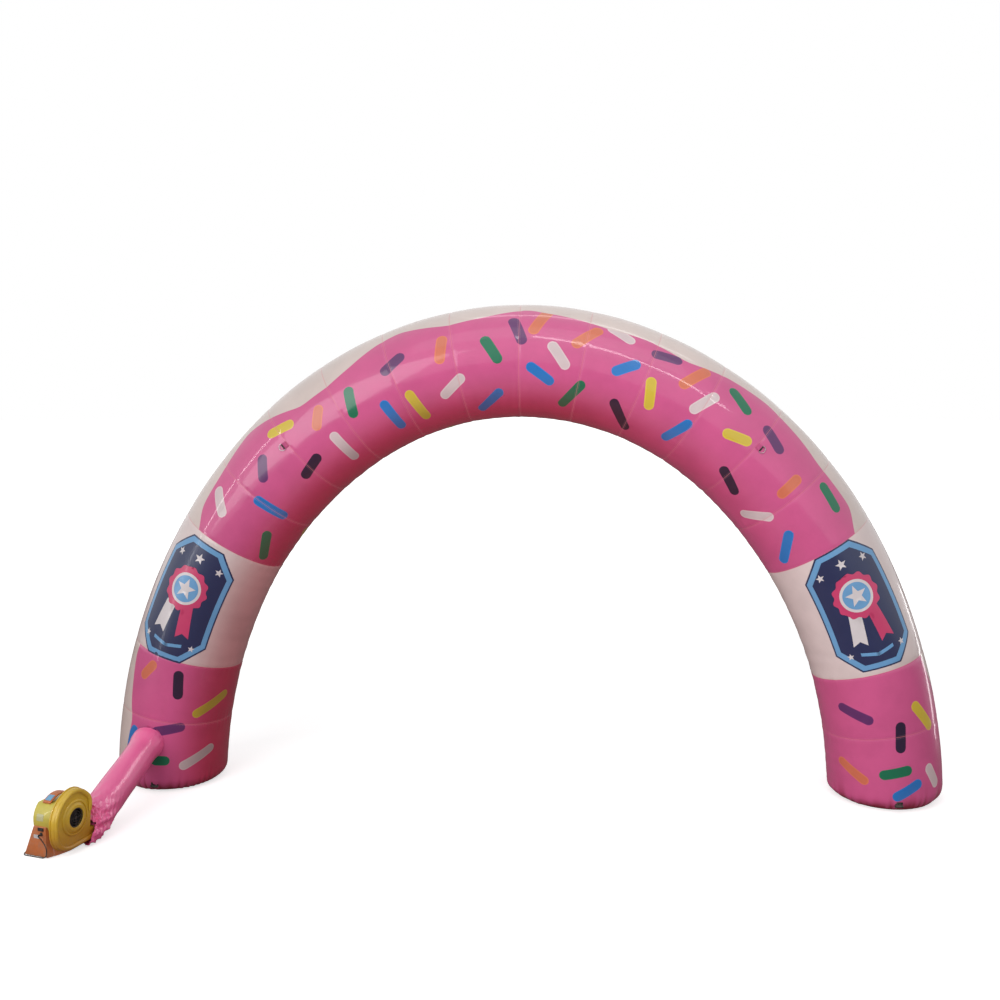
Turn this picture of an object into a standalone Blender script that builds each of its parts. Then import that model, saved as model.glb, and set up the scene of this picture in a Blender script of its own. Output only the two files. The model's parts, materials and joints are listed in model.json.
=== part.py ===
# Inflatable event arch: sewn air tube, tie points, deflation zip, filling sleeve and blower
# Metres, +Z up, the arch spans X and the walkway runs along Y

import bpy
import bmesh
import math
from mathutils import Matrix, Vector

# Clearances that every piece shares
CLEARANCE = 0.0003
CUT_OVERRUN = 0.01
MERGE_DISTANCE = 0.00001

# Arch tube: the centreline is a half ellipse whose centre lies a little below the ground
TUBE_RADIUS = 0.45
ARCH_HALF_SPAN = 3.017
ARCH_RISE = 3.722
ARCH_SINK = 0.166
SKIN_WALL = 0.001
RING_SIDES = 32
ARC_STEPS = 2000

# Lengths of the sewn sections, measured along the centreline from each foot
FOOT_GORE_LENGTH = 0.62
LEG_GORE_LENGTH = 0.53
BAND_LENGTH = 1.05
CROWN_GORES = 12
GORE_STEPS = 1
BAND_STEPS = 2

# Foot: the last stretch rounds in to a flat base panel
FOOT_ROUND_HEIGHT = 0.12
BASE_RADIUS = 0.332
BASE_PANEL_WALL = 0.002
FOOT_ROUND_STEPS = 4

# Tie points: webbing tab and steel ring, on the seam below each shoulder
TIE_ANGLE = math.radians(11.25)
TAB_WIDTH = 0.048
TAB_LENGTH = 0.036
TAB_WALL = 0.003
TAB_LIFT = 0.0006
RING_WIRE_RADIUS = 0.0025
RING_BORE_CLEARANCE = 0.0003
BARREL_WALL = 0.0018
RING_INNER_WIDTH = 0.052
RING_ARC_POINTS = 12

# Ground anchors: black webbing with a folded loop, on the rounded edge of each foot
ANCHOR_WIDTH = 0.06
ANCHOR_HEIGHT = 0.036
ANCHOR_WALL = 0.003
ANCHOR_ROUND_ANGLE = math.radians(70)
ANCHOR_LOOP_ANGLE = math.radians(64)
ANCHOR_LOOP_RADIUS = 0.0105
ANCHOR_BORE_RADIUS = 0.007

# Deflation zip on the back of the right leg
ZIP_START = 0.68
ZIP_LENGTH = 0.42
ZIP_LIFT = 0.0005
ZIP_TAPE_WIDTH = 0.034
ZIP_TAPE_WALL = 0.001
ZIP_TEETH_WIDTH = 0.006
ZIP_TEETH_HEIGHT = 0.0016
SLIDER_WIDTH = 0.013
SLIDER_LENGTH = 0.016
SLIDER_HEIGHT = 0.005
SLIDER_REST = 0.07
PULL_PIN_RADIUS = 0.0011
PULL_EYE_RADIUS = 0.0028
PULL_EAR_WALL = 0.0016
PULL_WIDTH = 0.0072
PULL_LENGTH = 0.045
PULL_WALL = 0.0016

# Filling sleeve from the blower to the left foot
SLEEVE_RADIUS = 0.128
SLEEVE_END_RADIUS = 0.12
SLEEVE_WALL = 0.0012
SLEEVE_SIDES = 24
STRAP_SIDES = 32
SLEEVE_STEPS = 2
SLEEVE_ENTRY_LENGTH = 0.42
SLEEVE_ENTRY_ANGLE = math.radians(10)
SLEEVE_ENTRY_DEPTH = 0.15
SLEEVE_OUTLET_LAP = 0.062
SLEEVE_OUTLET_SQUARENESS = 5.0
SLEEVE_SWELL_LENGTH = 0.035
SLEEVE_SWELL_HEIGHT = 0.136
SLEEVE_SWELL_SHIFT = 0.035
COLLAR_WIDTH = 0.022
COLLAR_WALL = 0.0015
STRAP_WIDTH = 0.025
STRAP_WALL = 0.002
STRAP_INSET = 0.012
BUCKLE_LENGTH = 0.05
BUCKLE_WIDTH = 0.034
BUCKLE_HEIGHT = 0.012
BUCKLE_NOTCH = 0.006
BUCKLE_ROUND = 0.003

# Blower: its own axes are X along the fan shaft towards the intake and Y along the outlet
BLOWER_X = -3.13
BLOWER_Y = -1.60
BLOWER_YAW = math.radians(-16)
FAN_HEIGHT = 0.262
VOLUTE_DEPTH = 0.1
VOLUTE_SPLIT = 0.045
VOLUTE_WALL = 0.004
SCROLL_STEP_ANGLE = math.radians(10)
SCROLL_RADII = (0.168, 0.197, 0.214, 0.211, 0.216, 0.243, 0.217)
BACK_RADII = (0.156, 0.168, 0.168, 0.168, 0.168, 0.182, 0.205)
OUTLET_END = 0.235
OUTLET_CEILING_DROP = 0.127
TONGUE_OFFSET = 0.152
RIM_WIDTH = 0.032
RIM_DROP = 0.012
RIM_ROUND = 0.02
RIM_INNER_ROUND = 0.006
RIM_SEGMENTS = 3
BACK_ROUND = 0.012
FLANGE_WIDTH = 0.006

# Intake ring and grille
INTAKE_RADIUS = 0.071
INTAKE_RING_RADIUS = 0.112
INTAKE_HOLE_RADIUS = 0.1
INTAKE_RING_RISE = 0.016
INTAKE_RING_WALL = 0.003
INTAKE_THROAT_LENGTH = 0.024
GRILLE_WALL = 0.003
GRILLE_SLOTS = 3
GRILLE_BAR = 0.0045
GRILLE_HUB_RADIUS = 0.014
GRILLE_SET_BACK = 0.008
GRILLE_ARC_STEPS = 4
TURN_STEPS = 32

# Impeller: forward curved blades between a back plate and a shroud ring
IMPELLER_RADIUS = 0.118
IMPELLER_EYE_RADIUS = 0.094
IMPELLER_LENGTH = 0.064
IMPELLER_PLATE_WALL = 0.0025
IMPELLER_RING_HEIGHT = 0.005
BLADE_COUNT = 28
BLADE_WALL = 0.0014
BLADE_BITE = 0.001
BLADE_ARC_STEPS = 2
BLADE_INLET_LEAN = math.radians(28)
BLADE_OUTLET_LEAN = math.radians(58)
HUB_RADIUS = 0.02
HUB_LENGTH = 0.03
IMPELLER_BACK_GAP = 0.006

# Motor, its plate and its shaft
SHAFT_RADIUS = 0.006
SHAFT_CLEARANCE = 0.0001
SHAFT_END_STANDOFF = 0.004
MOTOR_RADIUS = 0.058
MOTOR_LENGTH = 0.098
MOTOR_BELL_STEP = 0.006
MOTOR_BELL_LENGTH = 0.018
MOTOR_BOSS_RADIUS = 0.024
MOTOR_BORE_DEPTH = 0.04
MOTOR_PLATE_RADIUS = 0.088
MOTOR_PLATE_WALL = 0.004
MOTOR_HOLE_RADIUS = 0.066

# Motor cover drum with its vents
COVER_RADIUS = 0.16
COVER_LENGTH = 0.155
COVER_FLAT = 0.125
COVER_WALL = 0.003
COVER_ROUND = 0.018
VENT_COUNT = 9
VENT_WIDTH = 0.007
VENT_PITCH = 0.018
VENT_SPAN_RADIUS = 0.105

# Moulded stand with rubber strips
STAND_HALF_WIDTH = 0.168
STAND_FOOT_BACK = 0.332
STAND_TOP_BACK = 0.238
STAND_FRONT = 0.058
STAND_TOP = 0.232
STAND_WALL = 0.005
STAND_RIB = 0.045
STAND_ROUND = 0.006
STAND_CAVITY_TOP = 0.09
STAND_CORNER = ((-0.135, -0.18), (-0.088, -0.09), (-0.05, 0.04), (0.02, 0.04), (0.02, -0.18))
STRIP_HEIGHT = 0.006
STRIP_WIDTH = 0.03
STRIP_NEAR_LENGTH = 0.16
STRIP_FAR_LENGTH = 0.235
STRIP_INSET = 0.012

# Carrying handle over the motor cover
HANDLE_RADIUS = 0.171
HANDLE_GRIP = 0.011
HANDLE_BITE = 0.002
HANDLE_HALF_ANGLE = math.radians(39)
HANDLE_LEG = 0.014
HANDLE_WIDTH = 0.07
HANDLE_STEPS = 8
HANDLE_ROUND = 0.003
HANDLE_BACK = 0.165
PAD_START_ANGLE = math.radians(-34)
PAD_END_ANGLE = math.radians(-16)
PAD_STEPS = 4
PAD_WALL = 0.0015
PAD_MARGIN = 0.01

# Rocker switch and cord gland on the near wall of the stand
SWITCH_BACK = 0.172
SWITCH_HEIGHT = 0.214
BEZEL_LENGTH = 0.05
BEZEL_HEIGHT = 0.024
BEZEL_WALL = 0.0035
BEZEL_FRAME = 0.0035
SWITCH_POCKET_DEPTH = 0.0145
ROCKER_DEPTH = 0.011
ROCKER_PROUD = 0.0045
ROCKER_THROW = math.radians(7)
ROCKER_SIDE_CLEARANCE = 0.0012
GLAND_BACK = 0.168
GLAND_HEIGHT = 0.178
GLAND_FLANGE_RADIUS = 0.013
GLAND_FLANGE_WALL = 0.003
GLAND_NOSE_RADIUS = 0.0075
GLAND_NOSE_LENGTH = 0.016
GLAND_SPIGOT_RADIUS = 0.009
GLAND_SPIGOT_LENGTH = 0.004

# Mains cord, in the blower's own axes: where it runs free, then its coil and plug
CORD_RADIUS = 0.004
CORD_POINTS_PER_LEG = 12
CORD_SPACING = 0.0115
CORD_LEAD = 0.011

# Down the stand: back from the fan, out from the stand's wall, and height
CORD_DROP = ((-0.16, 0.014, 0.171), (-0.135, 0.01, 0.145), (-0.112, 0.006, 0.105),
             (-0.109, 0.0, 0.07), (-0.122, 0.0, 0.03), (-0.15, 0.0, 0.009))

# Along the ground beside the stand, then back behind it to the coil
CORD_BESIDE = ((-0.19, 0.0), (-0.26, -0.004), (-0.32, -0.01))
CORD_BEHIND = ((-0.352, -0.15), (-0.362, -0.09), (-0.375, -0.02), (-0.42, 0.04))
COIL_CENTRE = (-0.43, 0.16)
COIL_INNER_RADIUS = 0.038
COIL_STEP = 0.0098
COIL_LAYER_RISE = 0.0092
COIL_TURNS_PER_LAYER = 2.0
COIL_POINTS_PER_TURN = 20
COIL_TAIL = 0.03
COIL_LEAD = 0.06
PLUG_LENGTH = 0.036
PLUG_WIDTH = 0.028
PLUG_HEIGHT = 0.026
PLUG_ROUND = 0.004
PLUG_NECK_RADIUS = 0.0065
PLUG_NECK_LENGTH = 0.014
PLUG_NECK_END_RADIUS = 0.005
PIN_LENGTH = 0.016
PIN_WIDTH = 0.0062
PIN_WALL = 0.0015
PIN_SPACING = 0.0127
EARTH_PIN_RADIUS = 0.0024
EARTH_PIN_DROP = 0.0055
PIN_LIFT = 0.0035


# Clear the scene and make the two collections

for old in list(bpy.data.objects):
    bpy.data.objects.remove(old, do_unlink=True)

parts = bpy.data.collections.new("inflatable_arch")
cutters = bpy.data.collections.new("cutters")
bpy.context.scene.collection.children.link(parts)
bpy.context.scene.collection.children.link(cutters)


def make_material(name, colour, roughness, metallic=0.0):
    material = bpy.data.materials.new(name)
    material.use_nodes = True
    shader = material.node_tree.nodes["Principled BSDF"]
    shader.inputs["Base Color"].default_value = (*colour, 1.0)
    shader.inputs["Roughness"].default_value = roughness
    shader.inputs["Metallic"].default_value = metallic
    return material


PINK = ("pink_cloth", (0.74, 0.13, 0.32), 0.35)
CREAM = ("cream_cloth", (0.78, 0.73, 0.70), 0.4)
BASE_PINK = ("base_cloth", (0.45, 0.05, 0.12), 0.6)
PINK_WEB = ("pink_webbing", (0.66, 0.10, 0.28), 0.8)
BLACK_WEB = ("black_webbing", (0.02, 0.02, 0.02), 0.8)
STEEL = ("zinc_steel", (0.62, 0.62, 0.62), 0.35, 1.0)
ZIP_CLOTH = ("zip_tape", (0.60, 0.10, 0.27), 0.7)
BLACK_PLASTIC = ("black_plastic", (0.02, 0.02, 0.022), 0.45)
YELLOW_PLASTIC = ("yellow_plastic", (0.74, 0.52, 0.06), 0.4)
ORANGE_PLASTIC = ("orange_plastic", (0.68, 0.27, 0.08), 0.45)
BLUE_PAD = ("blue_pad", (0.20, 0.42, 0.62), 0.6)
GREY_NYLON = ("grey_nylon", (0.35, 0.36, 0.38), 0.5)
MOTOR_ENAMEL = ("motor_enamel", (0.10, 0.11, 0.12), 0.5)
BLACK_RUBBER = ("black_rubber", (0.015, 0.015, 0.015), 0.85)


def add_object(name, data, finish=None, parent=None, collection=parts):
    obj = bpy.data.objects.new(name, data)
    collection.objects.link(obj)
    obj.parent = parent
    if finish is not None:
        obj.data.materials.append(make_material(name + "_" + finish[0], *finish[1:]))
    if collection is cutters:
        obj.hide_render = True
        obj.display_type = "WIRE"
    return obj


def mesh_from(name, bm):
    bmesh.ops.recalc_face_normals(bm, faces=bm.faces)
    mesh = bpy.data.meshes.new(name)
    bm.to_mesh(mesh)
    bm.free()
    mesh.shade_smooth()
    mesh.set_sharp_from_angle(angle=math.radians(35))
    return mesh


def add_empty(name, location, parent=None, turn=0.0):
    empty = bpy.data.objects.new(name, None)
    parts.objects.link(empty)
    empty.parent = parent
    empty.location = location
    empty.rotation_euler = (0, 0, turn)
    return empty


def add_box(bm, size, matrix):
    stretch = Matrix.Diagonal((*size, 1.0))
    return bmesh.ops.create_cube(bm, size=1, matrix=matrix @ stretch)["verts"]


def add_cylinder(bm, radius, depth, sides, matrix):
    made = bmesh.ops.create_cone(bm, cap_ends=True, segments=sides, radius1=radius,
                                 radius2=radius, depth=depth, matrix=matrix)
    return made["verts"]


def cut(obj, cutter, operation="DIFFERENCE"):
    modifier = obj.modifiers.new("Cut", "BOOLEAN")
    modifier.operation = operation
    modifier.solver = "EXACT"
    modifier.object = cutter
    return modifier


def give_wall(obj, wall):
    modifier = obj.modifiers.new("Wall", "SOLIDIFY")
    modifier.thickness = wall
    modifier.offset = -1
    modifier.use_even_offset = True
    return modifier


def round_edges(obj, width, segments=2):
    modifier = obj.modifiers.new("Round", "BEVEL")
    modifier.width = width
    modifier.segments = segments
    modifier.limit_method = "ANGLE"
    modifier.angle_limit = math.radians(50)
    return modifier


def turned(name, profile, steps, finish=None, parent=None, collection=parts):
    # A closed profile of (radius, height) points that climbs its outer side, spun about Z
    bm = bmesh.new()
    points = [bm.verts.new((radius, 0, height)) for radius, height in reversed(profile)]
    for start, end in zip(points, points[1:] + points[:1]):
        if max(start.co.x, end.co.x) > 0:
            bm.edges.new((start, end))
    mesh = bpy.data.meshes.new(name)
    bm.to_mesh(mesh)
    bm.free()
    obj = add_object(name, mesh, finish, parent, collection)
    modifier = obj.modifiers.new("Turn", "SCREW")
    modifier.axis = "Z"
    modifier.steps = steps
    modifier.render_steps = steps
    modifier.use_merge_vertices = True
    modifier.merge_threshold = MERGE_DISTANCE
    modifier.use_smooth_shade = True
    return obj


def extruded(name, outline, thickness, finish=None, parent=None, collection=parts):
    # An outline of (x, y) points, raised along Z from zero
    bm = bmesh.new()
    face = bm.faces.new([bm.verts.new((x, y, 0)) for x, y in outline])
    raised = bmesh.ops.extrude_face_region(bm, geom=[face])
    top = [item for item in raised["geom"] if isinstance(item, bmesh.types.BMVert)]
    bmesh.ops.translate(bm, verts=top, vec=(0, 0, thickness))
    return add_object(name, mesh_from(name, bm), finish, parent, collection)


def axes_matrix(x_axis, y_axis, z_axis, origin):
    turn = Matrix((x_axis, y_axis, z_axis)).transposed().to_4x4()
    return Matrix.Translation(origin) @ turn


# Lofted rings: one ring is swept from station to station
# A station is its matrix, its half width, its half height and how square it is (2 is round)

def ring_point(angle, half_width, half_height, squareness):
    power = 2 / squareness
    along = math.copysign(abs(math.cos(angle)) ** power, math.cos(angle))
    across = math.copysign(abs(math.sin(angle)) ** power, math.sin(angle))
    return Vector((half_width * along, half_height * across, 0))


def loft(stations, sides, capped=False):
    bm = bmesh.new()
    ring = bmesh.ops.create_circle(bm, cap_ends=False, segments=sides, radius=1)["verts"]
    edges = list({edge for vert in ring for edge in vert.link_edges})
    angles = {vert: math.atan2(vert.co.y, vert.co.x) for vert in ring}
    first_edges = edges
    for index, (matrix, half_width, half_height, squareness) in enumerate(stations):
        if index > 0:
            grown = bmesh.ops.extrude_edge_only(bm, edges=edges)["geom"]
            ring = [item for item in grown if isinstance(item, bmesh.types.BMVert)]
            edges = [item for item in grown if isinstance(item, bmesh.types.BMEdge)
                     and item.verts[0] in ring and item.verts[1] in ring]
            before = stations[index - 1][0].inverted()
            angles = {}
            for vert in ring:
                local = before @ vert.co
                angles[vert] = section_angle(local, stations[index - 1])
        for vert in ring:
            vert.co = matrix @ ring_point(angles[vert], half_width, half_height, squareness)
    if capped:
        bmesh.ops.holes_fill(bm, edges=first_edges, sides=0)
        bmesh.ops.holes_fill(bm, edges=edges, sides=0)
    return bm


def section_angle(local, station):
    power = station[3] / 2
    along = local.x / station[1]
    across = local.y / station[2]
    return math.atan2(math.copysign(abs(across) ** power, across),
                      math.copysign(abs(along) ** power, along))


# Centreline of the arch, by length from the right foot

def ellipse_point(turn):
    return Vector((ARCH_HALF_SPAN * math.cos(turn), 0, ARCH_RISE * math.sin(turn) - ARCH_SINK))


def measure_centreline():
    first = math.asin(ARCH_SINK / ARCH_RISE)
    turns = [first + (math.pi - 2 * first) * step / ARC_STEPS for step in range(ARC_STEPS + 1)]
    lengths = [0.0]
    for start, end in zip(turns, turns[1:]):
        lengths.append(lengths[-1] + (ellipse_point(end) - ellipse_point(start)).length)
    return turns, lengths


CENTRE_TURNS, CENTRE_LENGTHS = measure_centreline()
ARCH_LENGTH = CENTRE_LENGTHS[-1]


def turn_at(length):
    low = 0
    high = ARC_STEPS
    while high - low > 1:
        middle = (low + high) // 2
        if CENTRE_LENGTHS[middle] <= length:
            low = middle
        else:
            high = middle
    span = CENTRE_LENGTHS[high] - CENTRE_LENGTHS[low]
    share = (length - CENTRE_LENGTHS[low]) / span
    return CENTRE_TURNS[low] + (CENTRE_TURNS[high] - CENTRE_TURNS[low]) * share


def centre_at(length):
    return ellipse_point(turn_at(length))


def tangent_at(length):
    turn = turn_at(length)
    return Vector((-ARCH_HALF_SPAN * math.sin(turn), 0, ARCH_RISE * math.cos(turn))).normalized()


def section_matrix(origin, tangent):
    # X of the ring points to the back of the arch, Z of the ring along the tube
    back = Vector((0, 1, 0))
    return axes_matrix(back, tangent.cross(back), tangent, origin)


def tube_station(length, grow=0.0, shift=0.0):
    tangent = tangent_at(length)
    radius = TUBE_RADIUS + grow
    return (section_matrix(centre_at(length) + tangent * shift, tangent), radius, radius, 2)


def skin_point(length, angle):
    # Angle is 0 at the front of the tube and grows towards its outer side
    tangent = tangent_at(length)
    outward = tangent.cross(Vector((0, -1, 0)))
    normal = Vector((0, -1, 0)) * math.cos(angle) + outward * math.sin(angle)
    return centre_at(length) + normal * TUBE_RADIUS, normal, tangent


# The foot's rounding: a ring grows from the base panel's edge to the full tube

def foot_station(turn, left, grow=0.0):
    height = FOOT_ROUND_HEIGHT * (1 - math.cos(turn))
    radius = BASE_RADIUS + (TUBE_RADIUS - BASE_RADIUS) * math.sin(turn) + grow
    length = ARCH_LENGTH - height if left else height
    blend = math.sin(turn) ** 2
    up = tangent_at(length)
    level = Vector((0, 0, -1)) if left else Vector((0, 0, 1))
    tangent = level.lerp(up, blend).normalized()
    centre = centre_at(length)
    origin = Vector((centre.x, 0, height)).lerp(centre, blend)
    return (section_matrix(origin, tangent), radius, radius, 2)


def foot_stations(left, grow=0.0, shift=0.0):
    stations = []
    for step in range(FOOT_ROUND_STEPS + 1):
        stations.append(foot_station(math.pi / 2 * step / FOOT_ROUND_STEPS, left, grow))
    if left:
        stations.append(tube_station(ARCH_LENGTH - FOOT_GORE_LENGTH, grow, shift))
    else:
        stations.append(tube_station(FOOT_GORE_LENGTH, grow, -shift))
    return stations


def tube_section(name, start, end, steps, finish, parent):
    stations = [tube_station(start, shift=CLEARANCE / 2)]
    for step in range(1, steps):
        stations.append(tube_station(start + (end - start) * step / steps))
    stations.append(tube_station(end, shift=-CLEARANCE / 2))
    obj = add_object(name, mesh_from(name, loft(stations, RING_SIDES)), finish, parent)
    give_wall(obj, SKIN_WALL)
    return obj


arch = add_empty("arch_centre", (0, 0, 0))


def build_skin():
    marks = [FOOT_GORE_LENGTH, FOOT_GORE_LENGTH + LEG_GORE_LENGTH]
    marks.append(marks[-1] + BAND_LENGTH)
    for side, left in (("right", False), ("left", True)):
        foot = add_object("foot_gore_" + side,
                          mesh_from("foot", loft(foot_stations(left, shift=CLEARANCE / 2), RING_SIDES)),
                          PINK, arch)
        give_wall(foot, SKIN_WALL)
        for name, low, high, steps, finish in (("leg_gore_", marks[0], marks[1], GORE_STEPS, PINK),
                                               ("badge_band_", marks[1], marks[2], BAND_STEPS, CREAM)):
            start, end = (ARCH_LENGTH - high, ARCH_LENGTH - low) if left else (low, high)
            tube_section(name + side, start, end, steps, finish, arch)
        build_base_panel(side, left)
    crown_length = ARCH_LENGTH - 2 * marks[2]
    for index in range(CROWN_GORES):
        start = marks[2] + crown_length * index / CROWN_GORES
        end = marks[2] + crown_length * (index + 1) / CROWN_GORES
        tube_section("crown_gore_%02d" % (index + 1), start, end, GORE_STEPS, PINK, arch)


def build_base_panel(side, left):
    matrix = foot_station(0, left)[0]
    radius = BASE_RADIUS - CLEARANCE * 2
    up = -1 if left else 1
    bm = loft([(matrix, radius, radius, 2),
               (matrix @ Matrix.Translation((0, 0, up * BASE_PANEL_WALL)), radius, radius, 2)],
              RING_SIDES, capped=True)
    add_object("base_panel_" + side, mesh_from("base_panel", bm), BASE_PINK, arch)


# Tie points: the tab is sewn at the seam and folds round the straight side of the ring

def tie_matrix(left, front):
    crown_length = ARCH_LENGTH - 2 * (FOOT_GORE_LENGTH + LEG_GORE_LENGTH + BAND_LENGTH)
    from_foot = (ARCH_LENGTH - crown_length) / 2 + 2 * crown_length / CROWN_GORES
    length = ARCH_LENGTH - from_foot if left else from_foot
    angle = TIE_ANGLE if front else math.pi - TIE_ANGLE
    point, normal, tangent = skin_point(length, angle)
    down = tangent if left else -tangent
    return axes_matrix(down.cross(normal), down, normal, point)


def build_tie_point(side, left, end, front):
    matrix = tie_matrix(left, front)
    bore = RING_WIRE_RADIUS + RING_BORE_CLEARANCE
    barrel = bore + BARREL_WALL
    axis_along = TAB_LENGTH + barrel
    axis_lift = TAB_LIFT + barrel
    tab = bmesh.new()
    add_box(tab, (TAB_WIDTH, axis_along, TAB_WALL),
            Matrix.Translation((0, axis_along / 2, TAB_LIFT + TAB_WALL / 2)))
    across = Matrix.Rotation(math.pi / 2, 4, "Y")
    at_axis = Matrix.Translation((0, axis_along, axis_lift)) @ across
    name = "tie_tab_%s_%s" % (end, side)
    tab_obj = add_object(name, mesh_from(name, tab), PINK_WEB, arch)
    tab_obj.matrix_local = matrix
    for label, radius, width, operation in (("fold", barrel, TAB_WIDTH, "UNION"),
                                            ("bore", bore, TAB_WIDTH + CUT_OVERRUN, "DIFFERENCE")):
        bm = bmesh.new()
        add_cylinder(bm, radius, width, 16, at_axis)
        cutter = add_object(name + "_" + label, mesh_from(name, bm), None, arch, cutters)
        cutter.matrix_local = matrix
        cut(tab_obj, cutter, operation)
    build_tie_ring("tie_ring_%s_%s" % (end, side), matrix, axis_along, axis_lift)


def build_tie_ring(name, matrix, axis_along, axis_lift):
    # The ring's own X is the hinge axis, along its straight side
    half = RING_INNER_WIDTH / 2 + RING_WIRE_RADIUS
    points = [Vector((-half, 0, 0)), Vector((0, 0, 0)), Vector((half, 0, 0))]
    for step in range(RING_ARC_POINTS):
        turn = math.pi * step / (RING_ARC_POINTS - 1)
        points.append(Vector((half * math.cos(turn), RING_WIRE_RADIUS * 2 + half * math.sin(turn), 0)))
    curve = bpy.data.curves.new(name, "CURVE")
    curve.dimensions = "3D"
    curve.bevel_depth = RING_WIRE_RADIUS
    curve.bevel_resolution = 2
    spline = curve.splines.new("POLY")
    spline.points.add(len(points) - 1)
    for point, place in zip(spline.points, points):
        point.co = (*place, 1)
    spline.use_cyclic_u = True
    ring = add_object(name, curve, STEEL, arch)
    ring.matrix_local = matrix @ Matrix.Translation((0, axis_along, axis_lift))


def foot_surface(turn, left, facing):
    # A point on the rounded front or back of a foot, and the way its skin faces
    station = foot_station(turn, left)
    normal = facing * (FOOT_ROUND_HEIGHT * math.sin(turn))
    normal.z = -(TUBE_RADIUS - BASE_RADIUS) * math.cos(turn)
    return station[0].translation + facing * station[1], normal.normalized()


def foot_block(name, left, grow):
    bm = loft(foot_stations(left, grow), RING_SIDES, capped=True)
    return add_object(name, mesh_from(name, bm), None, arch, cutters)


def build_anchor(side, left, end, front, inner_block, outer_block):
    facing = Vector((0, -1, 0)) if front else Vector((0, 1, 0))
    name = "anchor_tab_%s_%s" % (end, side)
    point, normal = foot_surface(ANCHOR_ROUND_ANGLE, left, facing)
    bm = bmesh.new()
    add_box(bm, (ANCHOR_WIDTH, ANCHOR_HEIGHT, ANCHOR_HEIGHT), Matrix.Translation(point))
    tab = add_object(name, mesh_from(name, bm), BLACK_WEB, arch)
    cut(tab, outer_block, "INTERSECT")
    cut(tab, inner_block)
    point, normal = foot_surface(ANCHOR_LOOP_ANGLE, left, facing)
    across = Matrix.Rotation(math.pi / 2, 4, "Y")
    place = Matrix.Translation(point + normal * (ANCHOR_LOOP_RADIUS + CLEARANCE)) @ across
    for label, radius, width, operation in (
            ("loop", ANCHOR_LOOP_RADIUS, ANCHOR_WIDTH - CLEARANCE, "UNION"),
            ("bore", ANCHOR_BORE_RADIUS, ANCHOR_WIDTH + CUT_OVERRUN, "DIFFERENCE")):
        bm = bmesh.new()
        add_cylinder(bm, radius, width, 16, place)
        cut(tab, add_object(name + "_" + label, mesh_from(name, bm), None, arch, cutters), operation)


# Deflation zip: straight tape with its row of teeth, a slider over the teeth and a hinged pull

def zip_matrix():
    low, low_normal, low_tangent = skin_point(ZIP_START, math.pi)
    high, high_normal, high_tangent = skin_point(ZIP_START + ZIP_LENGTH, math.pi)
    along = (high - low).normalized()
    normal = Vector((0, 1, 0))
    return axes_matrix(along.cross(normal), along, normal, low)


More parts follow.
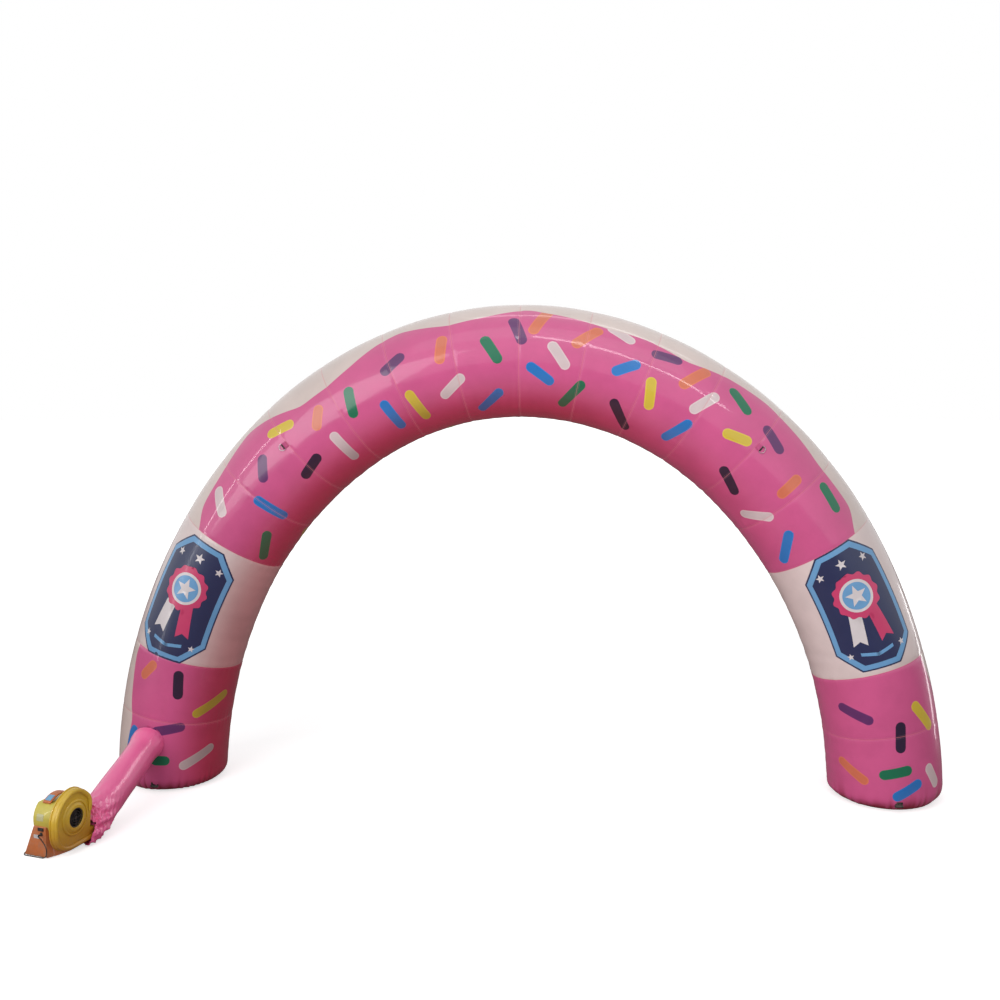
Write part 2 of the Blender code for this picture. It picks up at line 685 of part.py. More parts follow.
def build_zip():
    matrix = zip_matrix()
    half_tape = ZIP_TAPE_WIDTH / 2
    half_teeth = ZIP_TEETH_WIDTH / 2
    tape_top = ZIP_LIFT + ZIP_TAPE_WALL
    teeth_top = tape_top + ZIP_TEETH_HEIGHT
    outline = [(-half_tape, ZIP_LIFT), (half_tape, ZIP_LIFT), (half_tape, tape_top),
               (half_teeth, tape_top), (half_teeth, teeth_top), (-half_teeth, teeth_top),
               (-half_teeth, tape_top), (-half_tape, tape_top)]
    lay_down = Matrix.Rotation(math.pi / 2, 4, "X")
    tape = extruded("zip_tape", outline, ZIP_LENGTH, ZIP_CLOTH, arch)
    tape.matrix_local = matrix @ Matrix.Translation((0, ZIP_LENGTH, 0)) @ lay_down

    # The slider is a channel that straddles the teeth, with two ears and a pin for the pull
    base = tape_top + CLEARANCE
    roof = teeth_top + CLEARANCE
    top = base + SLIDER_HEIGHT
    half = SLIDER_WIDTH / 2
    inner = half_teeth + CLEARANCE
    outline = [(-half, base), (-inner, base), (-inner, roof), (inner, roof), (inner, base),
               (half, base), (half, top), (-half, top)]
    slider = extruded("zip_slider", outline, SLIDER_LENGTH, STEEL, arch)
    slider_place = matrix @ Matrix.Translation((0, SLIDER_REST, 0))
    slider.matrix_local = slider_place @ Matrix.Translation((0, SLIDER_LENGTH / 2, 0)) @ lay_down
    pin_lift = top + PULL_EYE_RADIUS + CLEARANCE
    ears = bmesh.new()
    across = Matrix.Rotation(math.pi / 2, 4, "Y")
    ear_offset = PULL_WIDTH / 2 + CLEARANCE + PULL_EAR_WALL / 2
    for sign in (-1, 1):
        add_box(ears, (PULL_EAR_WALL, PULL_EYE_RADIUS * 2, pin_lift + PULL_EYE_RADIUS - roof),
                Matrix.Translation((sign * ear_offset, 0, (pin_lift + PULL_EYE_RADIUS + roof) / 2)))
    ear_cutter = add_object("zip_ears", mesh_from("zip_ears", ears), None, arch, cutters)
    ear_cutter.matrix_local = slider_place
    cut(slider, ear_cutter, "UNION")
    pin = bmesh.new()
    add_cylinder(pin, PULL_PIN_RADIUS, ear_offset * 2, 12,
                 Matrix.Translation((0, 0, pin_lift)) @ across)
    pin_cutter = add_object("zip_pin", mesh_from("zip_pin", pin), None, arch, cutters)
    pin_cutter.matrix_local = slider_place
    cut(slider, pin_cutter, "UNION")

    # The pull hangs from the pin; its own X is the hinge axis
    pull = bmesh.new()
    add_box(pull, (PULL_WIDTH, PULL_LENGTH, PULL_WALL),
            Matrix.Translation((0, -PULL_LENGTH / 2, 0)))
    pull_obj = add_object("zip_pull", mesh_from("zip_pull", pull), STEEL, arch)
    pull_place = slider_place @ Matrix.Translation((0, 0, pin_lift))
    pull_obj.matrix_local = pull_place
    eye_bore = PULL_PIN_RADIUS + CLEARANCE
    eye_width = PULL_WIDTH - CLEARANCE * 2
    for label, radius, width, operation in (("eye", PULL_EYE_RADIUS, eye_width, "UNION"),
                                            ("hole", eye_bore, PULL_WIDTH + CUT_OVERRUN, "DIFFERENCE")):
        bm = bmesh.new()
        add_cylinder(bm, radius, width, 16, across)
        cutter = add_object("zip_pull_" + label, mesh_from("zip_pull", bm), None, arch, cutters)
        cutter.matrix_local = pull_place
        cut(pull_obj, cutter, operation)


# Blower housing outline, seen from the intake side, as (along the outlet, above the shaft)

blower = add_empty("blower_centre", (BLOWER_X, BLOWER_Y, 0), arch, BLOWER_YAW)


def scroll_outline(radii, grow=0.0):
    # The radii stand 45 degrees apart, from the outlet side over the top to the bottom
    points = [(OUTLET_END, grow - OUTLET_CEILING_DROP),
              (TONGUE_OFFSET + grow, grow - OUTLET_CEILING_DROP)]
    steps = round(math.pi * 1.5 / SCROLL_STEP_ANGLE)
    for step in range(steps + 1):
        place = (len(radii) - 1) * step / steps
        low = min(int(place), len(radii) - 2)
        share = place - low
        radius = grow + radii[low] + (radii[low + 1] - radii[low]) * (3 - 2 * share) * share ** 2
        turn = math.pi * 1.5 * step / steps
        points.append((radius * math.cos(turn), radius * math.sin(turn)))
    points.append((OUTLET_END, -(radii[-1] + grow)))
    return points


def build_volute_half(name, radii, face_x, split_x, rounding, rim, finish):
    # An open shell: the face, the side wall and a flange at the split
    inward = 1 if split_x > face_x else -1
    bm = bmesh.new()
    verts = [bm.verts.new((face_x, y, FAN_HEIGHT + z)) for y, z in scroll_outline(radii)]
    face = bm.faces.new(verts)
    order = {vert: index for index, vert in enumerate(verts)}
    ring = [edge for edge in face.edges if not (verts[0] in edge.verts and verts[-1] in edge.verts)]
    flange_x = split_x - inward * (VOLUTE_WALL + CLEARANCE)
    wall = bmesh.ops.extrude_edge_only(bm, edges=ring)["geom"]
    wall_verts = {item for item in wall if isinstance(item, bmesh.types.BMVert)}
    for vert in wall_verts:
        beside = [edge.other_vert(vert) for edge in vert.link_edges]
        order[vert] = next(order[item] for item in beside if item in order and item not in wall_verts)
        vert.co.x = flange_x
    wall_edges = [item for item in wall if isinstance(item, bmesh.types.BMEdge)
                  and item.verts[0] in wall_verts and item.verts[1] in wall_verts]
    lip = bmesh.ops.extrude_edge_only(bm, edges=wall_edges)["geom"]
    grown = scroll_outline(SCROLL_RADII, FLANGE_WIDTH)
    for vert in [item for item in lip if isinstance(item, bmesh.types.BMVert)]:
        beside = [edge.other_vert(vert) for edge in vert.link_edges]
        index = next(order[item] for item in beside if item in wall_verts)
        vert.co.y = grown[index][0]
        vert.co.z = FAN_HEIGHT + grown[index][1]
    if rim:
        inset = bmesh.ops.inset_region(bm, faces=[face], thickness=RIM_WIDTH, depth=0,
                                       use_boundary=True, use_even_offset=True)
        bmesh.ops.translate(bm, verts=face.verts, vec=(inward * RIM_DROP, 0, 0))
        rim_faces = [item for item in inset["faces"]]
        inner = [edge for edge in face.edges]
        outer = [edge for item in rim_faces for edge in item.edges
                 if all(abs(vert.co.x - face_x) < MERGE_DISTANCE for vert in edge.verts)
                 and len(edge.link_faces) == 2]
        bmesh.ops.bevel(bm, geom=outer, offset=rounding, segments=RIM_SEGMENTS, profile=0.5,
                        affect="EDGES", material=-1)
        bmesh.ops.bevel(bm, geom=[edge for edge in inner if edge.is_valid and len(edge.link_faces) == 2],
                        offset=RIM_INNER_ROUND, segments=2, profile=0.5, affect="EDGES", material=-1)
    else:
        outer = [edge for edge in face.edges if len(edge.link_faces) == 2]
        bmesh.ops.bevel(bm, geom=outer, offset=rounding, segments=RIM_SEGMENTS, profile=0.5,
                        affect="EDGES", material=-1)
    mesh = mesh_from(name, bm)
    broadest = max(mesh.polygons, key=lambda item: item.area)
    if broadest.normal.x * inward > 0:
        mesh.flip_normals()
    obj = add_object(name, mesh, finish, blower)
    give_wall(obj, VOLUTE_WALL)
    return obj


def shaft_matrix(along):
    # Turned pieces spin about Z; this lays them on the fan shaft, nose towards the intake
    return Matrix.Translation((along, 0, FAN_HEIGHT)) @ Matrix.Rotation(math.pi / 2, 4, "Y")


def shaft_cutter(name, radius, low, high, sides=TURN_STEPS):
    bm = bmesh.new()
    add_cylinder(bm, radius, high - low, sides, shaft_matrix((low + high) / 2))
    return add_object(name, mesh_from(name, bm), None, blower, cutters)


def build_housing():
    front = build_volute_half("volute_front", SCROLL_RADII, 0, -VOLUTE_SPLIT, RIM_ROUND, True, YELLOW_PLASTIC)
    cut(front, shaft_cutter("intake_hole", INTAKE_HOLE_RADIUS, -RIM_DROP - VOLUTE_WALL * 2, CUT_OVERRUN))
    back = build_volute_half("volute_back", BACK_RADII, -VOLUTE_DEPTH, -VOLUTE_SPLIT, BACK_ROUND, False,
                             YELLOW_PLASTIC)
    cut(back, shaft_cutter("motor_hole", MOTOR_HOLE_RADIUS, -VOLUTE_DEPTH - CUT_OVERRUN,
                           -VOLUTE_DEPTH + VOLUTE_WALL * 2))


def build_intake():
    # The ring sits on the sunk face and turns in to a throat that reaches towards the impeller
    seat = CLEARANCE - RIM_DROP
    top = seat + INTAKE_RING_RISE
    shoulder = (INTAKE_RING_RADIUS + INTAKE_RADIUS) / 2
    throat = top - INTAKE_THROAT_LENGTH
    profile = [(INTAKE_RING_RADIUS, seat),
               (INTAKE_RING_RADIUS, seat + INTAKE_RING_WALL),
               (shoulder, top),
               (INTAKE_RADIUS + INTAKE_RING_WALL, top),
               (INTAKE_RADIUS, top - INTAKE_RING_WALL),
               (INTAKE_RADIUS, throat),
               (INTAKE_RADIUS + INTAKE_RING_WALL, throat),
               (INTAKE_RADIUS + INTAKE_RING_WALL, top - INTAKE_RING_WALL * 2),
               (shoulder, top - INTAKE_RING_WALL),
               (INTAKE_HOLE_RADIUS - CLEARANCE, seat)]
    ring = turned("intake_ring", profile, TURN_STEPS, YELLOW_PLASTIC, blower)
    ring.matrix_local = shaft_matrix(0)

    # The grille is a disc with ring slots, which four spokes leave whole
    disc_radius = INTAKE_RADIUS - CLEARANCE
    face = top - GRILLE_SET_BACK
    disc = bmesh.new()
    add_cylinder(disc, disc_radius, GRILLE_WALL, TURN_STEPS, shaft_matrix(face - GRILLE_WALL / 2))
    grille = add_object("intake_grille", mesh_from("intake_grille", disc), BLACK_PLASTIC, blower)
    pitch = (disc_radius - GRILLE_HUB_RADIUS - GRILLE_BAR) / GRILLE_SLOTS
    slots = bmesh.new()
    for index in range(GRILLE_SLOTS):
        low = GRILLE_HUB_RADIUS + pitch * index
        for quarter in range(4):
            add_arc_slot(slots, low, low + pitch - GRILLE_BAR, quarter)
    slot_set = add_object("grille_slots", mesh_from("grille_slots", slots), None, blower, cutters)
    slot_set.matrix_local = shaft_matrix(face - GRILLE_WALL / 2)
    cut(grille, slot_set)


def add_arc_slot(bm, low, high, quarter):
    start = math.pi / 2 * quarter + GRILLE_BAR / 2 / low
    end = math.pi / 2 * (quarter + 1) - GRILLE_BAR / 2 / low
    turns = [start + (end - start) * step / GRILLE_ARC_STEPS for step in range(GRILLE_ARC_STEPS + 1)]
    outline = [(low * math.cos(turn), low * math.sin(turn)) for turn in turns]
    outline += [(high * math.cos(turn), high * math.sin(turn)) for turn in reversed(turns)]
    face = bm.faces.new([bm.verts.new((x, y, -GRILLE_WALL)) for x, y in outline])
    raised = bmesh.ops.extrude_face_region(bm, geom=[face])
    far = [item for item in raised["geom"] if isinstance(item, bmesh.types.BMVert)]
    bmesh.ops.translate(bm, verts=far, vec=(0, 0, GRILLE_WALL * 2))


# Impeller: one wheel with curved blades, made about Z and laid on the shaft

def blade_outline(turn):
    # A strip of even thickness that leans into the turn from its inner to its outer edge
    inner = []
    outer = []
    depth = IMPELLER_RADIUS - IMPELLER_EYE_RADIUS - BLADE_BITE
    for step in range(BLADE_ARC_STEPS + 1):
        share = step / BLADE_ARC_STEPS
        radius = IMPELLER_EYE_RADIUS + BLADE_BITE / 2 + depth * share
        lean = BLADE_INLET_LEAN + (BLADE_OUTLET_LEAN - BLADE_INLET_LEAN) * share
        swept = math.tan((BLADE_INLET_LEAN + lean) / 2) * depth * share / radius
        centre = Vector((radius * math.cos(turn + swept), radius * math.sin(turn + swept)))
        across = Vector((-math.sin(turn + swept + lean), math.cos(turn + swept + lean)))
        inner.append(centre - across * BLADE_WALL / 2)
        outer.append(centre + across * BLADE_WALL / 2)
    return inner + outer[::-1]


def build_impeller():
    back = -VOLUTE_DEPTH + VOLUTE_WALL + IMPELLER_BACK_GAP
    plate = IMPELLER_PLATE_WALL
    bore = SHAFT_RADIUS + SHAFT_CLEARANCE
    profile = [(bore, 0), (IMPELLER_RADIUS, 0), (IMPELLER_RADIUS, plate), (HUB_RADIUS, plate),
               (HUB_RADIUS, HUB_LENGTH), (bore, HUB_LENGTH)]
    wheel = turned("impeller", profile, BLADE_COUNT, GREY_NYLON, blower)
    wheel.matrix_local = shaft_matrix(back)
    blades = bmesh.new()
    blade_length = IMPELLER_LENGTH - plate - IMPELLER_RING_HEIGHT + BLADE_BITE * 2
    for index in range(BLADE_COUNT):
        outline = blade_outline(math.tau * index / BLADE_COUNT)
        face = blades.faces.new([blades.verts.new((*point, plate - BLADE_BITE)) for point in outline])
        raised = bmesh.ops.extrude_face_region(blades, geom=[face])
        top = [item for item in raised["geom"] if isinstance(item, bmesh.types.BMVert)]
        bmesh.ops.translate(blades, verts=top, vec=(0, 0, blade_length))
    blade_set = add_object("impeller_blades", mesh_from("blades", blades), None, blower, cutters)
    blade_set.matrix_local = shaft_matrix(back)
    low = IMPELLER_LENGTH - IMPELLER_RING_HEIGHT
    profile = [(IMPELLER_EYE_RADIUS, low), (IMPELLER_RADIUS, low),
               (IMPELLER_RADIUS, IMPELLER_LENGTH), (IMPELLER_EYE_RADIUS, IMPELLER_LENGTH)]
    shroud = turned("impeller_shroud", profile, BLADE_COUNT, None, blower, cutters)
    shroud.matrix_local = shaft_matrix(back)
    cut(wheel, blade_set, "UNION")
    cut(wheel, shroud, "UNION")
    return back


def build_motor(impeller_back):
    plate_face = -VOLUTE_DEPTH - CLEARANCE
    plate_back = plate_face - MOTOR_PLATE_WALL
    boss_hole = MOTOR_BOSS_RADIUS + CLEARANCE
    profile = [(boss_hole, 0), (MOTOR_PLATE_RADIUS, 0), (MOTOR_PLATE_RADIUS, MOTOR_PLATE_WALL),
               (boss_hole, MOTOR_PLATE_WALL)]
    plate = turned("motor_plate", profile, TURN_STEPS, STEEL, blower)
    plate.matrix_local = shaft_matrix(plate_back)

    # Motor with two end bells and a boss that stands through its plate
    front = plate_back - CLEARANCE
    bell = MOTOR_RADIUS - MOTOR_BELL_STEP
    bore = SHAFT_RADIUS + SHAFT_CLEARANCE
    boss_top = MOTOR_LENGTH + CLEARANCE + MOTOR_PLATE_WALL
    profile = [(0, 0), (bell, 0), (MOTOR_RADIUS, MOTOR_BELL_LENGTH),
               (MOTOR_RADIUS, MOTOR_LENGTH - MOTOR_BELL_LENGTH), (bell, MOTOR_LENGTH),
               (MOTOR_BOSS_RADIUS, MOTOR_LENGTH), (MOTOR_BOSS_RADIUS, boss_top),
               (bore, boss_top), (bore, MOTOR_LENGTH - MOTOR_BORE_DEPTH),
               (0, MOTOR_LENGTH - MOTOR_BORE_DEPTH)]
    motor = turned("motor", profile, TURN_STEPS, MOTOR_ENAMEL, blower)
    motor.matrix_local = shaft_matrix(front - MOTOR_LENGTH)

    # The shaft runs from inside the motor to just past the impeller's hub
    shaft_back = front - MOTOR_BORE_DEPTH + CLEARANCE
    shaft_front = impeller_back + HUB_LENGTH + SHAFT_END_STANDOFF
    rod = bmesh.new()
    add_cylinder(rod, SHAFT_RADIUS, shaft_front - shaft_back, TURN_STEPS,
                 Matrix.Translation((0, 0, (shaft_front - shaft_back) / 2)))
    shaft = add_object("motor_shaft", mesh_from("motor_shaft", rod), STEEL, blower)
    shaft.matrix_local = shaft_matrix(shaft_back)


def cover_outline(grow=0.0):
    # A circle with a flat top, which leaves room for fingers under the handle
    radius = COVER_RADIUS + grow
    flat = COVER_FLAT + grow
    side = math.acos(flat / radius)
    steps = TURN_STEPS - 4
    turns = [side + (math.tau - side * 2) * step / steps for step in range(steps + 1)]
    return [(radius * math.sin(turn), FAN_HEIGHT + radius * math.cos(turn)) for turn in turns]


def build_motor_cover():
    # A cup with its open side on the housing; the vents are slots in its end
    seat = -VOLUTE_DEPTH - CLEARANCE
    to_shaft = axes_matrix(Vector((0, 1, 0)), Vector((0, 0, 1)), Vector((1, 0, 0)),
                           Vector((seat - COVER_LENGTH, 0, 0)))
    bm = bmesh.new()
    end = bm.faces.new([bm.verts.new((x, y, 0)) for x, y in cover_outline()])
    rim = list(end.edges)
    wall = bmesh.ops.extrude_edge_only(bm, edges=rim)["geom"]
    bmesh.ops.translate(bm, verts=[item for item in wall if isinstance(item, bmesh.types.BMVert)],
                        vec=(0, 0, COVER_LENGTH))
    bmesh.ops.bevel(bm, geom=rim, offset=COVER_ROUND, segments=RIM_SEGMENTS, profile=0.5,
                    affect="EDGES", material=-1)
    mesh = mesh_from("motor_cover", bm)
    broadest = max(mesh.polygons, key=lambda item: item.area)
    if broadest.normal.z > 0:
        mesh.flip_normals()
    cover = add_object("motor_cover", mesh, YELLOW_PLASTIC, blower)
    cover.matrix_local = to_shaft
    give_wall(cover, COVER_WALL)
    slots = bmesh.new()
    for index in range(VENT_COUNT):
        height = VENT_PITCH * (index - (VENT_COUNT - 1) / 2)
        reach = math.sqrt(VENT_SPAN_RADIUS ** 2 - height ** 2) * 2
        add_box(slots, (CUT_OVERRUN * 2, reach, VENT_WIDTH),
                Matrix.Translation((seat - COVER_LENGTH, 0, FAN_HEIGHT + height)))
    cut(cover, add_object("cover_vents", mesh_from("vents", slots), None, blower, cutters))
    space = extruded("drum_space", cover_outline(CLEARANCE), COVER_LENGTH + STAND_FOOT_BACK,
                     None, blower, cutters)
    space.matrix_local = Matrix.Translation((-COVER_LENGTH, 0, 0)) @ to_shaft
    return space


def build_stand(drum_space):
    # Side view outline, pulled across the width, then relieved for the drum and the scroll
    outline = [(-STAND_FOOT_BACK, STRIP_HEIGHT), (-STAND_FRONT, STRIP_HEIGHT),
               (-STAND_FRONT, STAND_TOP), (-STAND_TOP_BACK, STAND_TOP)]
    stand = extruded("blower_stand", outline, STAND_HALF_WIDTH * 2, ORANGE_PLASTIC, blower)
    upright = Matrix.Rotation(math.pi / 2, 4, "X")
    stand.matrix_local = Matrix.Translation((0, STAND_HALF_WIDTH, 0)) @ upright
    round_edges(stand, STAND_ROUND)
    cut(stand, drum_space)
    flange_back = -VOLUTE_SPLIT - VOLUTE_WALL * 2 - CLEARANCE
    for label, radii, grow, low, high in (
            ("front", SCROLL_RADII, FLANGE_WIDTH + CLEARANCE, flange_back, CUT_OVERRUN),
            ("back", BACK_RADII, CLEARANCE, -VOLUTE_DEPTH - CLEARANCE, CUT_OVERRUN)):
        bm = bmesh.new()
        verts = [bm.verts.new((low, y, FAN_HEIGHT + z)) for y, z in scroll_outline(radii, grow)]
        raised = bmesh.ops.extrude_face_region(bm, geom=[bm.faces.new(verts)])
        moved = [item for item in raised["geom"] if isinstance(item, bmesh.types.BMVert)]
        bmesh.ops.translate(bm, verts=moved, vec=(high - low, 0, 0))
        cut(stand, add_object("stand_scroll_" + label, mesh_from("scroll", bm), None, blower, cutters))
    cut(stand, extruded("stand_corner", STAND_CORNER, STAND_TOP * 2, None, blower, cutters))
    cavity = bmesh.new()
    back = STAND_TOP_BACK - STAND_WALL
    front = VOLUTE_DEPTH + STAND_WALL
    add_box(cavity, (back - front, (STAND_HALF_WIDTH - STAND_RIB) * 2, STAND_CAVITY_TOP + CUT_OVERRUN),
            Matrix.Translation((-(back + front) / 2, 0, (STAND_CAVITY_TOP - CUT_OVERRUN) / 2)))
    cut(stand, add_object("stand_cavity", mesh_from("stand_cavity", cavity), None, blower, cutters))
    for label, sign, length in (("near", -1, STRIP_NEAR_LENGTH), ("far", 1, STRIP_FAR_LENGTH)):
        strip = bmesh.new()
        add_box(strip, (length, STRIP_WIDTH, STRIP_HEIGHT - CLEARANCE),
                Matrix.Translation((STRIP_INSET + length / 2 - STAND_FOOT_BACK,
                                    sign * (STAND_HALF_WIDTH - STRIP_INSET - STRIP_WIDTH / 2),
                                    (STRIP_HEIGHT - CLEARANCE) / 2)))
        add_object("stand_strip_" + label, mesh_from("strip", strip), BLACK_RUBBER, blower)
    return stand


def polar(radius, angle):
    # Angle from straight up, towards the outlet
    return (radius * math.sin(angle), FAN_HEIGHT + radius * math.cos(angle))


def build_handle(drum_space):
    foot = FAN_HEIGHT + COVER_FLAT - HANDLE_BITE
    under = HANDLE_RADIUS - HANDLE_GRIP
    wide = HANDLE_HALF_ANGLE
    edge = HANDLE_RADIUS * math.sin(wide)
    inner = edge - HANDLE_LEG
    gap = math.asin(inner / under)
    outline = []
    for step in range(HANDLE_STEPS + 1):
        outline.append(polar(HANDLE_RADIUS, -wide + 2 * wide * step / HANDLE_STEPS))
    outline.append((edge, foot))
    outline.append((inner, foot))
    for step in range(HANDLE_STEPS + 1):
        outline.append(polar(under, gap - 2 * gap * step / HANDLE_STEPS))
    outline.append((-inner, foot))
    outline.append((-edge, foot))
    to_side = axes_matrix(Vector((0, 1, 0)), Vector((0, 0, 1)), Vector((1, 0, 0)),
                          Vector((-HANDLE_BACK - HANDLE_WIDTH / 2, 0, 0)))
    handle = extruded("carry_handle", outline, HANDLE_WIDTH, ORANGE_PLASTIC, blower)
    handle.matrix_local = to_side
    cut(handle, drum_space)
    round_edges(handle, HANDLE_ROUND)
    low = HANDLE_RADIUS + CLEARANCE
    high = low + PAD_WALL
    turns = [PAD_START_ANGLE + (PAD_END_ANGLE - PAD_START_ANGLE) * step / PAD_STEPS
             for step in range(PAD_STEPS + 1)]
    outline = [polar(low, turn) for turn in turns]
    outline += [polar(high, turn) for turn in reversed(turns)]
    pad = extruded("handle_pad", outline, HANDLE_WIDTH - PAD_MARGIN * 2, BLUE_PAD, blower)
    pad.matrix_local = to_side @ Matrix.Translation((0, 0, PAD_MARGIN))


def build_switch(stand):
    # The bezel lies on the wall; the rocker turns on an axis across its middle
    wall = -STAND_HALF_WIDTH
    pocket_length = BEZEL_LENGTH - BEZEL_FRAME * 2
    pocket_height = BEZEL_HEIGHT - BEZEL_FRAME * 2
    pocket = bmesh.new()
    add_box(pocket, (pocket_length, SWITCH_POCKET_DEPTH * 2, pocket_height),
            Matrix.Translation((-SWITCH_BACK, wall, SWITCH_HEIGHT)))
    cut(stand, add_object("switch_pocket", mesh_from("pocket", pocket), None, blower, cutters))
    frame = bmesh.new()
    add_box(frame, (BEZEL_LENGTH, BEZEL_WALL, BEZEL_HEIGHT),
            Matrix.Translation((-SWITCH_BACK, wall - CLEARANCE - BEZEL_WALL / 2, SWITCH_HEIGHT)))
    bezel = add_object("switch_bezel", mesh_from("bezel", frame), BLACK_PLASTIC, blower)
    window = bmesh.new()
    add_box(window, (pocket_length, BEZEL_WALL * 2 + CUT_OVERRUN, pocket_height),
            Matrix.Translation((-SWITCH_BACK, wall - BEZEL_WALL, SWITCH_HEIGHT)))
    cut(bezel, add_object("bezel_window", mesh_from("window", window), None, blower, cutters))
    half = pocket_length / 2 - ROCKER_SIDE_CLEARANCE
    axis = 0
    proud = BEZEL_WALL + ROCKER_PROUD
    outline = [(-half, axis), (0, -ROCKER_DEPTH + ROCKER_PROUD), (half, axis),
               (half, proud - ROCKER_PROUD / 2), (0, proud - ROCKER_PROUD), (-half, proud - ROCKER_PROUD / 2)]
    height = pocket_height - CLEARANCE * 4
    rocker = extruded("rocker_switch", outline, height, BLACK_PLASTIC, blower)
    rocker.matrix_local = axes_matrix(Vector((1, 0, 0)), Vector((0, -1, 0)), Vector((0, 0, -1)),
                                      Vector((-SWITCH_BACK, wall, SWITCH_HEIGHT + height / 2)))


def build_gland(stand):
    wall = -STAND_HALF_WIDTH
    point_out = axes_matrix(Vector((1, 0, 0)), Vector((0, 0, 1)), Vector((0, -1, 0)),
                            Vector((-GLAND_BACK, wall - CLEARANCE, GLAND_HEIGHT)))
    hole = bmesh.new()
    hole_depth = (GLAND_SPIGOT_LENGTH + CLEARANCE * 2) * 2
    add_cylinder(hole, GLAND_SPIGOT_RADIUS + CLEARANCE, hole_depth, 16, point_out)
    cut(stand, add_object("gland_hole", mesh_from("hole", hole), None, blower, cutters))
    profile = [(0, -GLAND_SPIGOT_LENGTH), (GLAND_SPIGOT_RADIUS, -GLAND_SPIGOT_LENGTH),
               (GLAND_SPIGOT_RADIUS, 0), (GLAND_FLANGE_RADIUS, 0),
               (GLAND_FLANGE_RADIUS, GLAND_FLANGE_WALL), (GLAND_NOSE_RADIUS, GLAND_FLANGE_WALL),
               (CORD_RADIUS, GLAND_NOSE_LENGTH), (0, GLAND_NOSE_LENGTH)]
    gland = turned("cord_gland", profile, 16, BLACK_RUBBER, blower)
    gland.matrix_local = point_out


# Filling sleeve, its sewn collar and the strap that holds it on the outlet

def outlet_frame(back_from_end):
    # Middle of the outlet's mouth, in the arch's axes
    ceiling = FAN_HEIGHT - OUTLET_CEILING_DROP
    floor = FAN_HEIGHT - SCROLL_RADII[-1]
    centre = Vector((-VOLUTE_DEPTH / 2, OUTLET_END - back_from_end, (ceiling + floor) / 2))
    place = Matrix.Translation((BLOWER_X, BLOWER_Y, 0)) @ Matrix.Rotation(BLOWER_YAW, 4, "Z")
    forward = (place.to_3x3() @ Vector((0, 1, 0))).normalized()
    side = (place.to_3x3() @ Vector((1, 0, 0))).normalized()
    return place @ centre, forward, side, (ceiling - floor) / 2


def tube_frame(centre, heading):
    across = heading.cross(Vector((0, 0, 1))).normalized()
    return axes_matrix(across, across.cross(-heading), -heading, centre)


def outlet_station(back_from_end, grow):
    centre, forward, side, half_height = outlet_frame(back_from_end)
    half_width = VOLUTE_DEPTH / 2 + FLANGE_WIDTH + grow
    return (tube_frame(centre, forward), half_width, half_height + FLANGE_WIDTH + grow,
            SLEEVE_OUTLET_SQUARENESS)


def sleeve_entry():
    return skin_point(ARCH_LENGTH - SLEEVE_ENTRY_LENGTH, SLEEVE_ENTRY_ANGLE)


def sleeve_stations(grow=0.0):
    mouth, forward, side, half_height = outlet_frame(0)
    entry, entry_normal, entry_tangent = sleeve_entry()
    swell = mouth + forward * SLEEVE_SWELL_LENGTH - side * SLEEVE_SWELL_SHIFT
    swell.z = SLEEVE_SWELL_HEIGHT
    run = (entry - swell).normalized()
    stations = [outlet_station(SLEEVE_OUTLET_LAP, grow + CLEARANCE + SLEEVE_WALL),
                outlet_station(0, grow + CLEARANCE + SLEEVE_WALL)]
    for step in range(SLEEVE_STEPS + 1):
        share = step / SLEEVE_STEPS
        radius = SLEEVE_RADIUS + (SLEEVE_END_RADIUS - SLEEVE_RADIUS) * share + grow
        stations.append((tube_frame(swell.lerp(entry, share), run), radius, radius, 2))
    radius = SLEEVE_END_RADIUS + grow
    stations.append((tube_frame(entry + run * SLEEVE_ENTRY_DEPTH, run), radius, radius, 2))
    return stations


def build_sleeve(leg):
    sleeve = add_object("inflation_sleeve", mesh_from("sleeve", loft(sleeve_stations(), SLEEVE_SIDES)),
                        PINK, arch)
    give_wall(sleeve, SLEEVE_WALL)
    cut(sleeve, leg)
    bore_bm = loft(sleeve_stations(-SLEEVE_WALL)[2:], SLEEVE_SIDES, True)
    bore = add_object("sleeve_bore", mesh_from("bore", bore_bm), None, arch, cutters)
    foot = bpy.data.objects["foot_gore_left"]
    cut(foot, bore)

    # The collar is a flat band sewn round the joint, cut from a slice just outside the leg
    outer = foot_block("collar_slice", True, CLEARANCE + COLLAR_WALL)
    band_bm = loft(sleeve_stations(COLLAR_WIDTH)[3:], SLEEVE_SIDES, True)
    band = add_object("sleeve_collar", mesh_from("collar", band_bm), PINK_WEB, arch)
    inner_bm = loft(sleeve_stations(CLEARANCE)[2:], SLEEVE_SIDES, True)
    inner = add_object("collar_inner", mesh_from("inner", inner_bm), None, arch, cutters)
    cut(band, outer, "INTERSECT")
    cut(band, leg)
    cut(band, inner)


